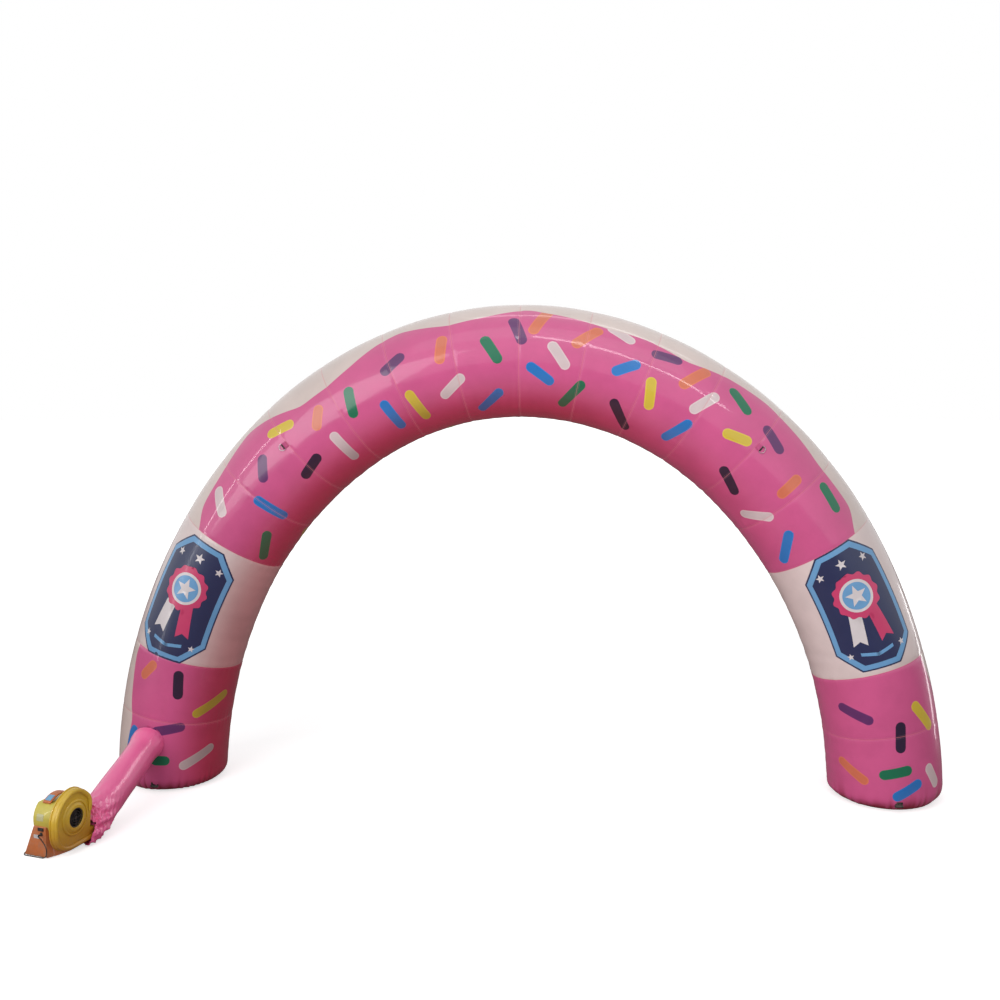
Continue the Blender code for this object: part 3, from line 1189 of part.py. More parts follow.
def build_strap():
    grow = CLEARANCE * 2 + SLEEVE_WALL
    near = STRAP_INSET
    stations = [outlet_station(near + STRAP_WIDTH, grow + STRAP_WALL),
                outlet_station(near, grow + STRAP_WALL)]
    strap_bm = loft(stations, STRAP_SIDES)
    strap = add_object("sleeve_strap", mesh_from("strap", strap_bm), BLACK_WEB, arch)
    give_wall(strap, STRAP_WALL)
    centre, forward, side, half_height = outlet_frame(near + STRAP_WIDTH / 2)
    face = half_height + FLANGE_WIDTH + grow + STRAP_WALL + CLEARANCE
    matrix = axes_matrix(side, forward, Vector((0, 0, 1)), centre + Vector((0, 0, face + BUCKLE_HEIGHT / 2)))
    bm = bmesh.new()
    add_box(bm, (BUCKLE_LENGTH, BUCKLE_WIDTH, BUCKLE_HEIGHT), Matrix.Identity(4))
    buckle = add_object("strap_buckle", mesh_from("buckle", bm), BLACK_PLASTIC, arch)
    buckle.matrix_local = matrix
    notch = bmesh.new()
    for sign in (-1, 1):
        add_box(notch, (BUCKLE_LENGTH / 3, BUCKLE_NOTCH * 2, BUCKLE_HEIGHT + CUT_OVERRUN),
                Matrix.Translation((0, sign * BUCKLE_WIDTH / 2, 0)))
    notches = add_object("buckle_notches", mesh_from("notches", notch), None, arch, cutters)
    notches.matrix_local = matrix
    cut(buckle, notches)
    round_edges(buckle, BUCKLE_ROUND / 2, 1)


# Mains cord: the free stretch follows points chosen by hand, the coil a spiral in two layers

def cord_route():
    floor = CORD_RADIUS + MERGE_DISTANCE
    start = -STAND_HALF_WIDTH - CLEARANCE * 2 - GLAND_NOSE_LENGTH
    near = start - CORD_RADIUS
    coil_x, coil_y = COIL_CENTRE
    outer = COIL_INNER_RADIUS + COIL_STEP * COIL_TURNS_PER_LAYER
    route = [(-GLAND_BACK, start, GLAND_HEIGHT), (-GLAND_BACK, start - CORD_LEAD, GLAND_HEIGHT)]
    route += [(back, near - out, height) for back, out, height in CORD_DROP]
    route += [(back, near - out, floor) for back, out in CORD_BESIDE]
    route += [(back, across, floor) for back, across in CORD_BEHIND]
    route += [(coil_x - outer, coil_y - lead, floor) for lead in (COIL_LEAD, COIL_LEAD / 2, CLEARANCE)]
    return route


def smooth_points(route, per_leg):
    # A curve through every point of the route
    points = []
    places = [Vector(place) for place in route]
    for index in range(len(places) - 1):
        before = places[max(index - 1, 0)]
        start = places[index]
        end = places[index + 1]
        after = places[min(index + 2, len(places) - 1)]
        for step in range(per_leg):
            share = step / per_leg
            points.append(0.5 * ((2 * start) + (end - before) * share
                                 + (2 * before - 5 * start + 4 * end - after) * share ** 2
                                 + (3 * start - before - 3 * end + after) * share ** 3))
    points.append(places[-1])
    return points


def tube_object(name, points, radius, resolution, finish, parent):
    curve = bpy.data.curves.new(name, "CURVE")
    curve.dimensions = "3D"
    curve.bevel_depth = radius
    curve.bevel_resolution = resolution
    curve.use_fill_caps = True
    spline = curve.splines.new("POLY")
    spline.points.add(len(points) - 1)
    for point, place in zip(spline.points, points):
        point.co = (*place, 1)
    return add_object(name, curve, finish, parent)


def coil_points():
    # In at the outside, round to the middle, up one layer in half a turn, and out again
    coil_x, coil_y = COIL_CENTRE
    floor = CORD_RADIUS + MERGE_DISTANCE
    turns = COIL_TURNS_PER_LAYER
    steps = round(COIL_POINTS_PER_TURN * (turns * 2 + 0.5))
    points = []
    for step in range(steps + 1):
        turn = (turns * 2 + 0.5) * step / steps
        if turn < turns:
            radius = COIL_INNER_RADIUS + COIL_STEP * (turns - turn)
            height = floor
        elif turn < turns + 0.5:
            share = (turn - turns) / 0.5
            radius = COIL_INNER_RADIUS
            height = floor + COIL_LAYER_RISE * (3 * share ** 2 - 2 * share ** 3)
        else:
            radius = COIL_INNER_RADIUS + COIL_STEP * (turn - turns - 0.5)
            height = floor + COIL_LAYER_RISE
        angle = math.pi - math.tau * turn
        points.append(Vector((coil_x + radius * math.cos(angle), coil_y + radius * math.sin(angle), height)))
    lead = Vector((0, CORD_RADIUS * 2, 0))
    last = (points[-1] - points[-2]).normalized()
    return [points[0] - lead] + points + [points[-1] + last * COIL_TAIL]


def least_gap(points, radius):
    # Smallest clear space between stretches of the tube that aren't next to each other
    lengths = [0.0]
    for start, end in zip(points, points[1:]):
        lengths.append(lengths[-1] + (end - start).length)
    least = None
    for index, point in enumerate(points):
        for other in range(index + 1, len(points)):
            if lengths[other] - lengths[index] > radius * 8:
                gap = (points[other] - point).length - radius * 2
                least = gap if least is None else min(least, gap)
    return least


def build_plug(tail, heading):
    # The plug's own X points back along the cord
    up = Vector((0, 0, 1))
    body_middle = PLUG_NECK_LENGTH + PLUG_LENGTH / 2
    bm = bmesh.new()
    add_box(bm, (PLUG_LENGTH, PLUG_WIDTH, PLUG_HEIGHT), Matrix.Translation((body_middle, 0, 0)))
    plug = add_object("power_plug", mesh_from("plug", bm), BLACK_RUBBER, blower)
    place = axes_matrix(heading, up.cross(heading), up, tail + heading * CLEARANCE)
    plug.matrix_local = place
    round_edges(plug, PLUG_ROUND)
    neck = bmesh.new()
    along = Matrix.Rotation(math.pi / 2, 4, "Y")
    bmesh.ops.create_cone(neck, cap_ends=True, segments=16, radius1=PLUG_NECK_END_RADIUS,
                          radius2=PLUG_NECK_RADIUS, depth=PLUG_NECK_LENGTH + PLUG_ROUND,
                          matrix=Matrix.Translation(((PLUG_NECK_LENGTH + PLUG_ROUND) / 2, 0, 0)) @ along)
    pins = bmesh.new()
    pin_start = PLUG_NECK_LENGTH + PLUG_LENGTH
    for sign in (-1, 1):
        add_box(pins, (PIN_LENGTH * 2, PIN_WALL, PIN_WIDTH),
                Matrix.Translation((pin_start, sign * PIN_SPACING / 2, PIN_LIFT)))
    add_cylinder(pins, EARTH_PIN_RADIUS, PIN_LENGTH * 2, 12,
                 Matrix.Translation((pin_start, 0, -EARTH_PIN_DROP)) @ along)
    for label, piece in (("plug_neck", neck), ("plug_pins", pins)):
        cutter = add_object(label, mesh_from(label, piece), None, blower, cutters)
        cutter.matrix_local = place
        cut(plug, cutter, "UNION")


def build_cord():
    route = smooth_points(cord_route(), CORD_POINTS_PER_LEG)
    spaced = [route[0]]
    for place in route[1:-1]:
        if (place - spaced[-1]).length >= CORD_SPACING:
            spaced.append(place)
    if (route[-1] - spaced[-1]).length < CORD_RADIUS * 2:
        spaced.pop()
    spaced.append(route[-1])
    coil = coil_points()
    gap = (coil[0] - coil[1]).normalized() * CLEARANCE
    spaced[-1] = coil[0] + gap
    tube_object("power_cord", spaced, CORD_RADIUS, 1, BLACK_RUBBER, blower)
    tube_object("cord_coil", coil, CORD_RADIUS, 1, BLACK_RUBBER, blower)
    heading = (coil[-1] - coil[-2]).normalized()
    build_plug(coil[-1], heading)
    free = sum((end - start).length for start, end in zip(spaced, spaced[1:]))
    wound = sum((end - start).length for start, end in zip(coil, coil[1:]))
    print("cord length: free %.3f m, coil %.3f m, total %.3f m" % (free, wound, free + wound))
    print("least gap in the coil: %.5f m" % least_gap(coil, CORD_RADIUS))


def centre_on_footprint():
    # The origin goes to the middle of the footprint, on the ground, measured without the cord
    bpy.context.view_layer.update()
    graph = bpy.context.evaluated_depsgraph_get()
    places = []
    for obj in parts.objects:
        if obj.type in {"MESH", "CURVE"} and obj.name not in {"power_cord", "cord_coil", "power_plug"}:
            shape = obj.evaluated_get(graph)
            mesh = shape.to_mesh()
            places += [obj.matrix_world @ vert.co for vert in mesh.vertices]
            shape.to_mesh_clear()
    middle = [(min(place[axis] for place in places) + max(place[axis] for place in places)) / 2
              for axis in (0, 1)]
    arch.location = (-middle[0], -middle[1], 0)
    bpy.context.view_layer.update()


build_skin()
for side_name, is_left in (("right", False), ("left", True)):
    near_block = foot_block("foot_near_" + side_name, is_left, CLEARANCE)
    far_block = foot_block("foot_far_" + side_name, is_left, CLEARANCE + ANCHOR_WALL)
    for end_name, is_front in (("front", True), ("rear", False)):
        build_tie_point(side_name, is_left, end_name, is_front)
        build_anchor(side_name, is_left, end_name, is_front, near_block, far_block)
build_zip()
build_housing()
build_intake()
build_motor(build_impeller())
drum_space = build_motor_cover()
blower_stand = build_stand(drum_space)
build_handle(drum_space)
build_switch(blower_stand)
build_gland(blower_stand)
build_sleeve(near_block)
build_strap()
build_cord()
centre_on_footprint()
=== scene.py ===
import json
import math
import random

import bmesh
import bpy
import numpy as np
from mathutils import Matrix, Vector


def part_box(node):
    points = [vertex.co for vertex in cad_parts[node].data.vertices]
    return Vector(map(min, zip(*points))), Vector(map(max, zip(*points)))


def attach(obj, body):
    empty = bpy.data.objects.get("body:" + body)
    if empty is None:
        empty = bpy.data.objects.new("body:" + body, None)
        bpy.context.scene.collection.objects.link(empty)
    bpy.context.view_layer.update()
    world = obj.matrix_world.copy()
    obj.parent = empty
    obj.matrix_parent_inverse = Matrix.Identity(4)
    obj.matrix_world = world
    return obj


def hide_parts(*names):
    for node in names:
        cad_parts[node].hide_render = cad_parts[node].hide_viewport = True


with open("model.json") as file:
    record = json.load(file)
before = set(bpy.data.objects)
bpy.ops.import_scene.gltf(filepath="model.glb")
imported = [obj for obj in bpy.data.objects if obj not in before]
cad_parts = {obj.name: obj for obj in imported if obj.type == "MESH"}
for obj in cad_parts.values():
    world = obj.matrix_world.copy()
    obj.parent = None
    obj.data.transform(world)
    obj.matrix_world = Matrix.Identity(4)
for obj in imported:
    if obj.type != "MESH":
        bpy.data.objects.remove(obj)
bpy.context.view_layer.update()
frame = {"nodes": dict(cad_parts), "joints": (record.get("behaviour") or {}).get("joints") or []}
nodes = frame["nodes"]
archBody = "arch_and_blower"
scene = bpy.context.scene

# The arch stands over the middle of its two base panels, the blower in front of the left foot
blower = {"place": (-3.13, -1.60, 0), "turn": -16}
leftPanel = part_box("base_panel_left")
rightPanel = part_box("base_panel_right")
archOrigin = Vector(((leftPanel[0][0] + rightPanel[1][0]) / 2, (leftPanel[0][1] + leftPanel[1][1]) / 2, 0))
blowerPlace = Matrix.Translation(archOrigin + Vector(blower["place"])) \
    @ Matrix.Rotation(math.radians(blower["turn"]), 4, "Z")

# Camera at the photograph's angle
cameraSet = {"place": (0.482, -9.048, 3.42), "tilt": 83.708, "turn": 4.158, "lens": 39.786, "sensor": 36}
lens = bpy.data.cameras.new("photoCamera")
lens.lens = cameraSet["lens"]
lens.sensor_width = cameraSet["sensor"]
camera = bpy.data.objects.new("photoCamera", lens)
camera.location = archOrigin + Vector(cameraSet["place"])
camera.rotation_euler = (math.radians(cameraSet["tilt"]), 0, math.radians(cameraSet["turn"]))
scene.collection.objects.link(camera)
scene.camera = camera
print("camera ready")


# Node helpers
def wire(tree, source, target):
    if isinstance(source, bpy.types.NodeSocket):
        tree.links.new(source, target)
    else:
        target.default_value = source


def addMath(tree, operation, first, second=0.0, clamp=False):
    node = tree.nodes.new("ShaderNodeMath")
    node.operation = operation
    node.use_clamp = clamp
    wire(tree, first, node.inputs[0])
    wire(tree, second, node.inputs[1])
    return node.outputs[0]


def multiply(tree, first, second):
    return addMath(tree, "MULTIPLY", first, second)


def sineOf(tree, value, turns):
    return addMath(tree, "SINE", multiply(tree, value, turns))


def addNoise(tree, place, scale, detail=2.0, roughness=0.5):
    node = tree.nodes.new("ShaderNodeTexNoise")
    for label, value in (("Vector", place), ("Scale", scale), ("Detail", detail), ("Roughness", roughness)):
        wire(tree, value, node.inputs[label])
    return node.outputs["Fac"]


def addRange(tree, value, low, high, newLow=0.0, newHigh=1.0, smooth=True):
    node = tree.nodes.new("ShaderNodeMapRange")
    node.interpolation_type = "SMOOTHSTEP" if smooth else "LINEAR"
    for label, source in (("Value", value), ("From Min", low), ("From Max", high), ("To Min", newLow),
                          ("To Max", newHigh)):
        wire(tree, source, node.inputs[label])
    return node.outputs["Result"]


def addMix(tree, share, first, second):
    node = tree.nodes.new("ShaderNodeMix")
    node.data_type = "RGBA"
    for label, source in (("Factor", share), ("A", first), ("B", second)):
        wire(tree, source, node.inputs[label])
    return node.outputs["Result"]


def addStainOrShade(tree, colour, mask, amount, stain):
    # Used for stains and wear, and also for painted shade on the tube's inner side
    return addMix(tree, multiply(tree, mask, amount), colour, stain)


def addSplit(tree, place):
    node = tree.nodes.new("ShaderNodeSeparateXYZ")
    wire(tree, place, node.inputs[0])
    return node.outputs[0], node.outputs[1], node.outputs[2]


def srgb(red, green, blue):
    values = []
    for value in (red, green, blue):
        share = value / 255
        values.append(share / 12.92 if share <= 0.04045 else ((share + 0.055) / 1.055) ** 2.4)
    return (*values, 1.0)


def newMaterial(name):
    material = bpy.data.materials.new(name)
    material.use_nodes = True
    tree = material.node_tree
    return material, tree, tree.nodes["Principled BSDF"]


def useGroup(tree, group, **values):
    node = tree.nodes.new("ShaderNodeGroup")
    node.node_tree = group
    for label, value in values.items():
        wire(tree, value, node.inputs[label])
    return node.outputs


def objectPlace(tree):
    return tree.nodes.new("ShaderNodeTexCoord").outputs["Object"]


def clothPlace(tree):
    # Metres along the cloth and around it
    node = tree.nodes.new("ShaderNodeUVMap")
    node.uv_map = "cloth"
    return node.outputs["UV"]


def addBump(tree, shader, height, strength, distance):
    bump = tree.nodes.new("ShaderNodeBump")
    bump.inputs["Strength"].default_value = strength
    bump.inputs["Distance"].default_value = distance
    wire(tree, height, bump.inputs["Height"])
    wire(tree, bump.outputs["Normal"], shader.inputs["Normal"])


def scaledColour(tree, colour, shade):
    # A colour made lighter or darker by a value near 1
    node = tree.nodes.new("ShaderNodeVectorMath")
    node.operation = "SCALE"
    wire(tree, colour[:3] if isinstance(colour, tuple) else colour, node.inputs[0])
    wire(tree, shade, node.inputs["Scale"])
    return node.outputs[0]


def setFinish(tree, shader, colour, roughness, coat=0.0, coatRoughness=0.03):
    for label, value in (("Base Color", colour), ("Roughness", roughness), ("Coat Weight", coat),
                         ("Coat Roughness", coatRoughness)):
        wire(tree, value, shader.inputs[label])


# Node groups that several materials share: each takes a place and one value of its own
def newGroup(name, label, value, *outputs):
    group = bpy.data.node_groups.new(name, "ShaderNodeTree")
    group.interface.new_socket(name="Place", in_out="INPUT", socket_type="NodeSocketVector")
    group.interface.new_socket(name=label, in_out="INPUT", socket_type="NodeSocketFloat").default_value = value
    for output in outputs:
        group.interface.new_socket(name=output, in_out="OUTPUT", socket_type="NodeSocketFloat")
    given = group.nodes.new("NodeGroupInput").outputs
    return group, given["Place"], given[label], group.nodes.new("NodeGroupOutput").inputs


def makeClothGroup():
    # Coated cloth: fine plain weave under the coating, and uneven dye
    group, place, thread, made = newGroup("coatedCloth", "Thread", 0.0016, "Height", "Mottle")
    across, along, _ = addSplit(group, place)
    turns = addMath(group, "DIVIDE", math.tau, thread)
    weave = multiply(group, sineOf(group, across, turns), sineOf(group, along, turns))
    crumple = addNoise(group, place, 26.0, 3.0)
    wire(group, addMath(group, "ADD", multiply(group, weave, 0.12), crumple), made["Height"])
    wire(group, addNoise(group, place, 3.2, 4.0, 0.6), made["Mottle"])
    return group


def makeWebbingGroup():
    # Woven webbing: cords along the strap crossed by a twill
    group, place, rib, made = newGroup("wovenWebbing", "Rib", 0.0022, "Height", "Shade")
    x, y, z = addSplit(group, place)
    turns = addMath(group, "DIVIDE", math.tau, rib)
    weave = multiply(group, sineOf(group, addMath(group, "ADD", x, z), turns),
                     sineOf(group, addMath(group, "SUBTRACT", y, z), turns))
    wire(group, weave, made["Height"])
    wire(group, addRange(group, weave, -1.0, 1.0, 0.75, 1.1), made["Shade"])
    return group


def makeMouldGroup():
    # Moulded plastic: fine spark-eroded grain, faint flow marks and rubbed patches
    group, place, grain, made = newGroup("mouldedPlastic", "Grain", 700.0, "Height", "Shade", "Rubbed")
    wire(group, addNoise(group, place, grain, 2.0), made["Height"])
    wire(group, addRange(group, addNoise(group, place, 14.0, 4.0, 0.6), 0.3, 0.7, 0.93, 1.05), made["Shade"])
    wire(group, addRange(group, addNoise(group, place, 55.0, 6.0, 0.7), 0.5, 0.72), made["Rubbed"])
    return group


def makeMetalGroup():
    # Zinc plate: spangle in the shine and small dents
    group, place, size, made = newGroup("zincPlate", "Spangle", 260.0, "Height", "Roughness")
    spangle = addNoise(group, place, size, 3.0)
    wire(group, spangle, made["Height"])
    wire(group, addRange(group, spangle, 0.3, 0.7, 0.28, 0.5), made["Roughness"])
    return group


def makeDustGroup():
    # Dust that settles low down, by height above the ground
    group, place, reach, made = newGroup("groundDust", "Reach", 0.25, "Mask")
    low = addRange(group, addSplit(group, place)[2], 0.0, reach, 1.0, 0.0)
    patches = addRange(group, addNoise(group, place, 18.0, 5.0, 0.7), 0.38, 0.68)
    wire(group, multiply(group, low, patches), made["Mask"])
    return group


clothGroup = makeClothGroup()
webbingGroup = makeWebbingGroup()
mouldGroup = makeMouldGroup()
metalGroup = makeMetalGroup()
dustGroup = makeDustGroup()


def addDust(tree, colour, reach, amount, tone):
    soil = useGroup(tree, dustGroup, Place=objectPlace(tree), Reach=reach)
    return addStainOrShade(tree, colour, soil["Mask"], amount, tone)


def addCloth(tree, colour, place, low, high):
    # The colour with the cloth's uneven dye, and the cloth's own outputs
    cloth = useGroup(tree, clothGroup, Place=place, Thread=0.0018)
    return scaledColour(tree, colour, addRange(tree, cloth["Mottle"], 0.3, 0.7, low, high)), cloth


def clothMaterial(name, tone, findPlace, shades, finish, bump, low=None, dust=None):
    # Low is a painted shade for the cloth's underside; dust gives its reach, amount and colour
    material, tree, shader = newMaterial(name)
    place = findPlace(tree)
    colour, cloth = addCloth(tree, tone, place, *shades)
    # Painted shade on the underside
    if low:
        colour = addMix(tree, addRange(tree, addSplit(tree, place)[1], -0.17, -0.04, 0.6, 0.0), colour, low)
    if dust:
        colour = addDust(tree, colour, *dust)
    setFinish(tree, shader, colour, *finish)
    addBump(tree, shader, cloth["Height"], *bump)
    return material


def plasticMaterial(name, colour, roughness, grain=700.0, dust=0.25, coat=0.0, rubbed=0.12, low=None):
    # Low is a painted shade that a shell turns towards at its foot
    material, tree, shader = newMaterial(name)
    place = objectPlace(tree)
    # Painted shade: darker and more orange towards the foot
    if low:
        colour = addMix(tree, addRange(tree, addSplit(tree, place)[2], 0.06, 0.34, 0.62, 0.0), colour, low)
    mould = useGroup(tree, mouldGroup, Place=place, Grain=grain)
    tinted = scaledColour(tree, colour, mould["Shade"])
    pale = addMix(tree, 0.2, tinted, srgb(240, 236, 226))
    worn = addStainOrShade(tree, tinted, mould["Rubbed"], rubbed, pale)
    dusty = addDust(tree, worn, 0.4, dust, srgb(150, 138, 126))
    rough = addRange(tree, mould["Rubbed"], 0.0, 1.0, roughness, min(1.0, roughness + 0.12))
    setFinish(tree, shader, dusty, rough, coat)
    addBump(tree, shader, mould["Height"], 0.25, 0.0004)
    return material


def metalMaterial(name, colour):
    material, tree, shader = newMaterial(name)
    metal = useGroup(tree, metalGroup, Place=objectPlace(tree))
    dark = (*[value * 0.72 for value in colour[:3]], 1.0)
    setFinish(tree, shader, addMix(tree, metal["Height"], colour, dark), metal["Roughness"])
    shader.inputs["Metallic"].default_value = 1.0
    addBump(tree, shader, metal["Height"], 0.2, 0.0003)
    return material


def webbingMaterial(name, colour):
    material, tree, shader = newMaterial(name)
    webbing = useGroup(tree, webbingGroup, Place=objectPlace(tree))
    woven = scaledColour(tree, colour, webbing["Shade"])
    setFinish(tree, shader, addDust(tree, woven, 0.3, 0.35, srgb(150, 135, 125)), 0.78)
    addBump(tree, shader, webbing["Height"], 0.6, 0.0004)
    return material


# Colours as they look on the real thing under plain light; the two deeper colours for the tube's inner side and
# the gather colour for the folds at the feet are painted shade
tones = {
    "icing": srgb(205, 88, 140),
    "icingDeep": srgb(176, 46, 76),
    "dough": srgb(212, 196, 190),
    "band": srgb(218, 202, 200),
    "bandDeep": srgb(196, 140, 142),
    "seam": srgb(216, 124, 134),
    "stitch": srgb(230, 170, 188),
    "gather": srgb(150, 20, 58),
    "navy": srgb(34, 20, 50),
    "purple": srgb(92, 42, 98),
    "green": srgb(12, 108, 76),
    "blue": srgb(32, 116, 190),
    "yellow": srgb(206, 182, 60),
    "orange": srgb(208, 112, 82),
    "white": srgb(208, 190, 192)}
badgeTones = {"Navy": srgb(34, 44, 82), "Blue": srgb(104, 158, 204), "White": srgb(214, 208, 210),
              "Pink": srgb(200, 62, 108)}


# The air tube: a half ellipse, measured in metres along it from the right foot
tube = {"radius": 0.45, "halfSpan": 3.017, "rise": 3.722, "sink": 0.166, "footRound": 0.12,
        "baseRadius": 0.332, "foot": 0.62, "leg": 0.53, "band": 1.05, "crownGores": 12,
        "cellsAround": 224, "cellLength": 0.0155, "footLift": 0.35, "groundPress": 0.2, "groundGap": 0.0006}

firstTurn = math.asin(tube["sink"] / tube["rise"])
tubeTurns = np.linspace(firstTurn, math.pi - firstTurn, 6001)
tubePath = np.stack([tube["halfSpan"] * np.cos(tubeTurns),
                     tube["rise"] * np.sin(tubeTurns) - tube["sink"]], 1)
tubeLengths = np.concatenate([[0.0], np.cumsum(np.linalg.norm(np.diff(tubePath, axis=0), axis=1))])
archLength = float(tubeLengths[-1])

crownStart = tube["foot"] + tube["leg"] + tube["band"]
crownGore = (archLength - 2 * crownStart) / tube["crownGores"]
seamMarks = [0.0, tube["foot"], tube["foot"] + tube["leg"], crownStart]
seamMarks += [crownStart + crownGore * step for step in range(1, tube["crownGores"] + 1)]
seamMarks += [archLength - tube["foot"] - tube["leg"], archLength - tube["foot"], archLength]


def skinPlaces(along, around, lift):
    # Around is 0 at the front of the tube and a quarter turn at its outer side
    along = np.asarray(along, float)
    around = np.asarray(around, float)
    turn = np.interp(along, tubeLengths, tubeTurns)
    middleX = tube["halfSpan"] * np.cos(turn)
    middleZ = tube["rise"] * np.sin(turn) - tube["sink"]
    alongX = -tube["halfSpan"] * np.sin(turn)
    alongZ = tube["rise"] * np.cos(turn)
    size = np.hypot(alongX, alongZ)
    alongX, alongZ = alongX / size, alongZ / size
    leftHalf = along > archLength / 2
    fromFoot = np.where(leftHalf, archLength - along, along)
    level = np.where(leftHalf, -1.0, 1.0)
    # The foot rounds in to the ground over its last few centimetres
    below = np.clip(1 - fromFoot / tube["footRound"], 0, 1)
    sine = np.sqrt(1 - below ** 2)
    radius = tube["baseRadius"] + (tube["radius"] - tube["baseRadius"]) * sine
    blend = sine ** 2
    alongX = alongX * blend
    alongZ = level * (1 - blend) + alongZ * blend
    size = np.hypot(alongX, alongZ)
    alongX, alongZ = alongX / size, alongZ / size
    middleZ = fromFoot * (1 - blend) + middleZ * blend
    reach = radius + lift * (tube["footLift"] + (1 - tube["footLift"]) * sine)
    outward = reach * np.sin(around)
    places = np.stack([middleX + outward * alongZ, -reach * np.cos(around), middleZ - outward * alongX], -1)
    places[..., 2] = np.maximum(places[..., 2] - np.abs(lift) * below * tube["groundPress"], tube["groundGap"])
    return places + np.array(archOrigin)


# Folds of the cloth: sums of waves with their own lengths, so every run gives the same folds
waveDraw = random.Random(11)


def makeWaves(count, low, high):
    return [(waveDraw.randint(low, high), waveDraw.uniform(0, math.tau), waveDraw.uniform(0.5, 1.0))
            for _ in range(count)]


def makeDrifts(count, lengths, twists):
    return [(waveDraw.uniform(*lengths), waveDraw.randint(*twists), waveDraw.uniform(0, math.tau))
            for _ in range(count)]


def sumWaves(waves, angle):
    total = np.zeros_like(angle)
    for number, phase, size in waves:
        total += size * np.sin(number * angle + phase)
    return total / math.sqrt(len(waves))


folds = {"seamDip": 0.0022, "dipReach": 0.014, "seamPucker": 0.0016, "puckerReach": 0.07, "swell": 0.0015,
         "innerFold": 0.0026, "footGather": 0.023, "slack": 0.006}
# Gathers at the feet: where they start, how far they and the painted shade in their folds reach, and the spread of
# that
gather = {"start": 0.02, "reach": 0.055, "spread": 0.035, "limits": (0.02, 0.13), "darkReach": 0.06,
          "darkSpread": 0.045, "darkLimits": (0.02, 0.15), "hemReach": 0.055, "groundReach": 0.015}
seamWaves = [makeWaves(7, 22, 64) for _ in seamMarks]
gatherWaves = {left: makeWaves(9, 11, 30) for left in (False, True)}
reachWaves = {left: makeWaves(8, 5, 30) for left in (False, True)}
slackWaves = makeDrifts(7, (1.5, 5.0), (1, 4))
crossWaves = makeDrifts(6, (28, 70), (-3, 3))


def skinRelief(along, around):
    inner = np.clip(-np.sin(around) - 0.15, 0, 1) ** 1.3
    relief = np.zeros_like(along)
    for mark, waves in zip(seamMarks[1:-1], seamWaves[1:-1]):
        gap = along - mark
        near = np.exp(-(gap / folds["puckerReach"]) ** 2)
        if near.max() < 0.001:
            continue
        relief -= folds["seamDip"] * np.exp(-(gap / folds["dipReach"]) ** 2)
        relief += folds["seamPucker"] * near * sumWaves(waves, around) * (0.35 + 0.65 * inner)
    # Each section swells a little between its seams
    place = np.interp(along, seamMarks, np.arange(len(seamMarks)))
    relief += folds["swell"] * np.sin(np.pi * (place % 1.0)) ** 2
    for number, twist, phase in slackWaves:
        relief += folds["slack"] / len(slackWaves) * np.sin(number * along + twist * around + phase)
    for number, twist, phase in crossWaves:
        relief += folds["innerFold"] / len(crossWaves) * inner \
            * np.sin(number * along + twist * around + phase) * (1 + np.sin(along * 2.3 + phase))
    # Gathers where each foot is sewn to its base
    for left in (False, True):
        fromFoot = archLength - along if left else along
        puff = np.abs(sumWaves(gatherWaves[left], around)) ** 0.7 - 0.8
        reach = np.clip(gather["reach"] + gather["spread"] * sumWaves(reachWaves[left], around), *gather["limits"])
        near = np.exp(-(np.clip(fromFoot - gather["start"], 0, None) / reach) ** 1.4)
        near = near * np.clip(fromFoot / gather["groundReach"], 0, 1)
        relief += folds["footGather"] * near * puff
    return relief


# Printed pattern: sprinkles as two ends each, metres from the right foot and degrees round the tube
sprinkleReach = 0.041  # half of a sprinkle's width
sprinkles = [
    ("purple", 5.19, 46, 5.11, 17), ("green", 5.4, 25, 5.29, -1), ("orange", 5.69, 34, 5.75, 7),
    ("white", 5.59, -10, 5.8, -27), ("blue", 5.29, -30, 5.51, -54), ("yellow", 6.06, -10, 5.99, -46),
    ("blue", 6.28, -9, 6.23, -45), ("purple", 6.19, 16, 6.0, 27), ("green", 6.47, 20, 6.54, -9),
    ("orange", 6.73, 21, 6.85, 2), ("white", 6.77, -10, 6.75, -49), ("navy", 6.97, -19, 7.2, -26),
    ("yellow", 6.97, 24, 7.18, 33), ("purple", 7.31, 21, 7.45, 1), ("white", 7.735, 38, 7.875, 13),
    ("blue", 7.6, -3, 7.58, -41), ("green", 7.78, -34, 8.03, -48), ("orange", 9.2, 17, 9.35, 30),
    ("navy", 9.21, -10, 9.44, -15), ("yellow", 9.38, -71, 9.58, -34), ("blue", 9.76, 27, 9.94, 38),
    ("purple", 9.76, 5, 9.68, -26), ("white", 9.89, -62, 10.05, -26), ("green", 10.0, 4, 9.99, -14),
    ("orange", 4.93, 63, 5.05, 28), ("white", 4.91, 19, 4.76, -4), ("blue", 5.07, -4, 4.86, -21),
    ("orange", 4.57, 44, 4.74, 19), ("white", 4.52, 50, 4.33, 39), ("green", 4.61, -15, 4.77, -46),
    ("blue", 4.41, 2, 4.24, 19), ("purple", 4.18, 35, 3.97, 40), ("yellow", 4.12, 10, 4.04, -19),
    ("navy", 4.34, -24, 4.13, -53), ("orange", 3.77, 47, 3.9, 15), ("white", 3.63, 27, 3.74, -1),
    ("green", 3.57, 43, 3.37, 31), ("blue", 3.69, -10, 3.81, -41), ("yellow", 3.44, 0, 3.23, 9),
    ("purple", 3.22, 32, 3.01, 23), ("navy", 3.26, -28, 3.01, -40), ("orange", 2.79, 20, 2.78, -8),
    ("green", 2.64, 35, 2.41, 31), ("white", 2.84, -53, 2.67, -26), ("blue", 2.5, -21, 2.28, -47),
    ("purple", 0.92, -49, 0.77, -18), ("yellow", 0.85, 26, 0.62, 45), ("navy", 0.73, 9, 0.5, 5),
    ("orange", 0.42, -60, 0.25, -30), ("green", 0.32, -17, 0.35, 14), ("white", 0.35, 34, 0.17, 47),
    ("blue", 0.24, 24, 0.13, -5)]

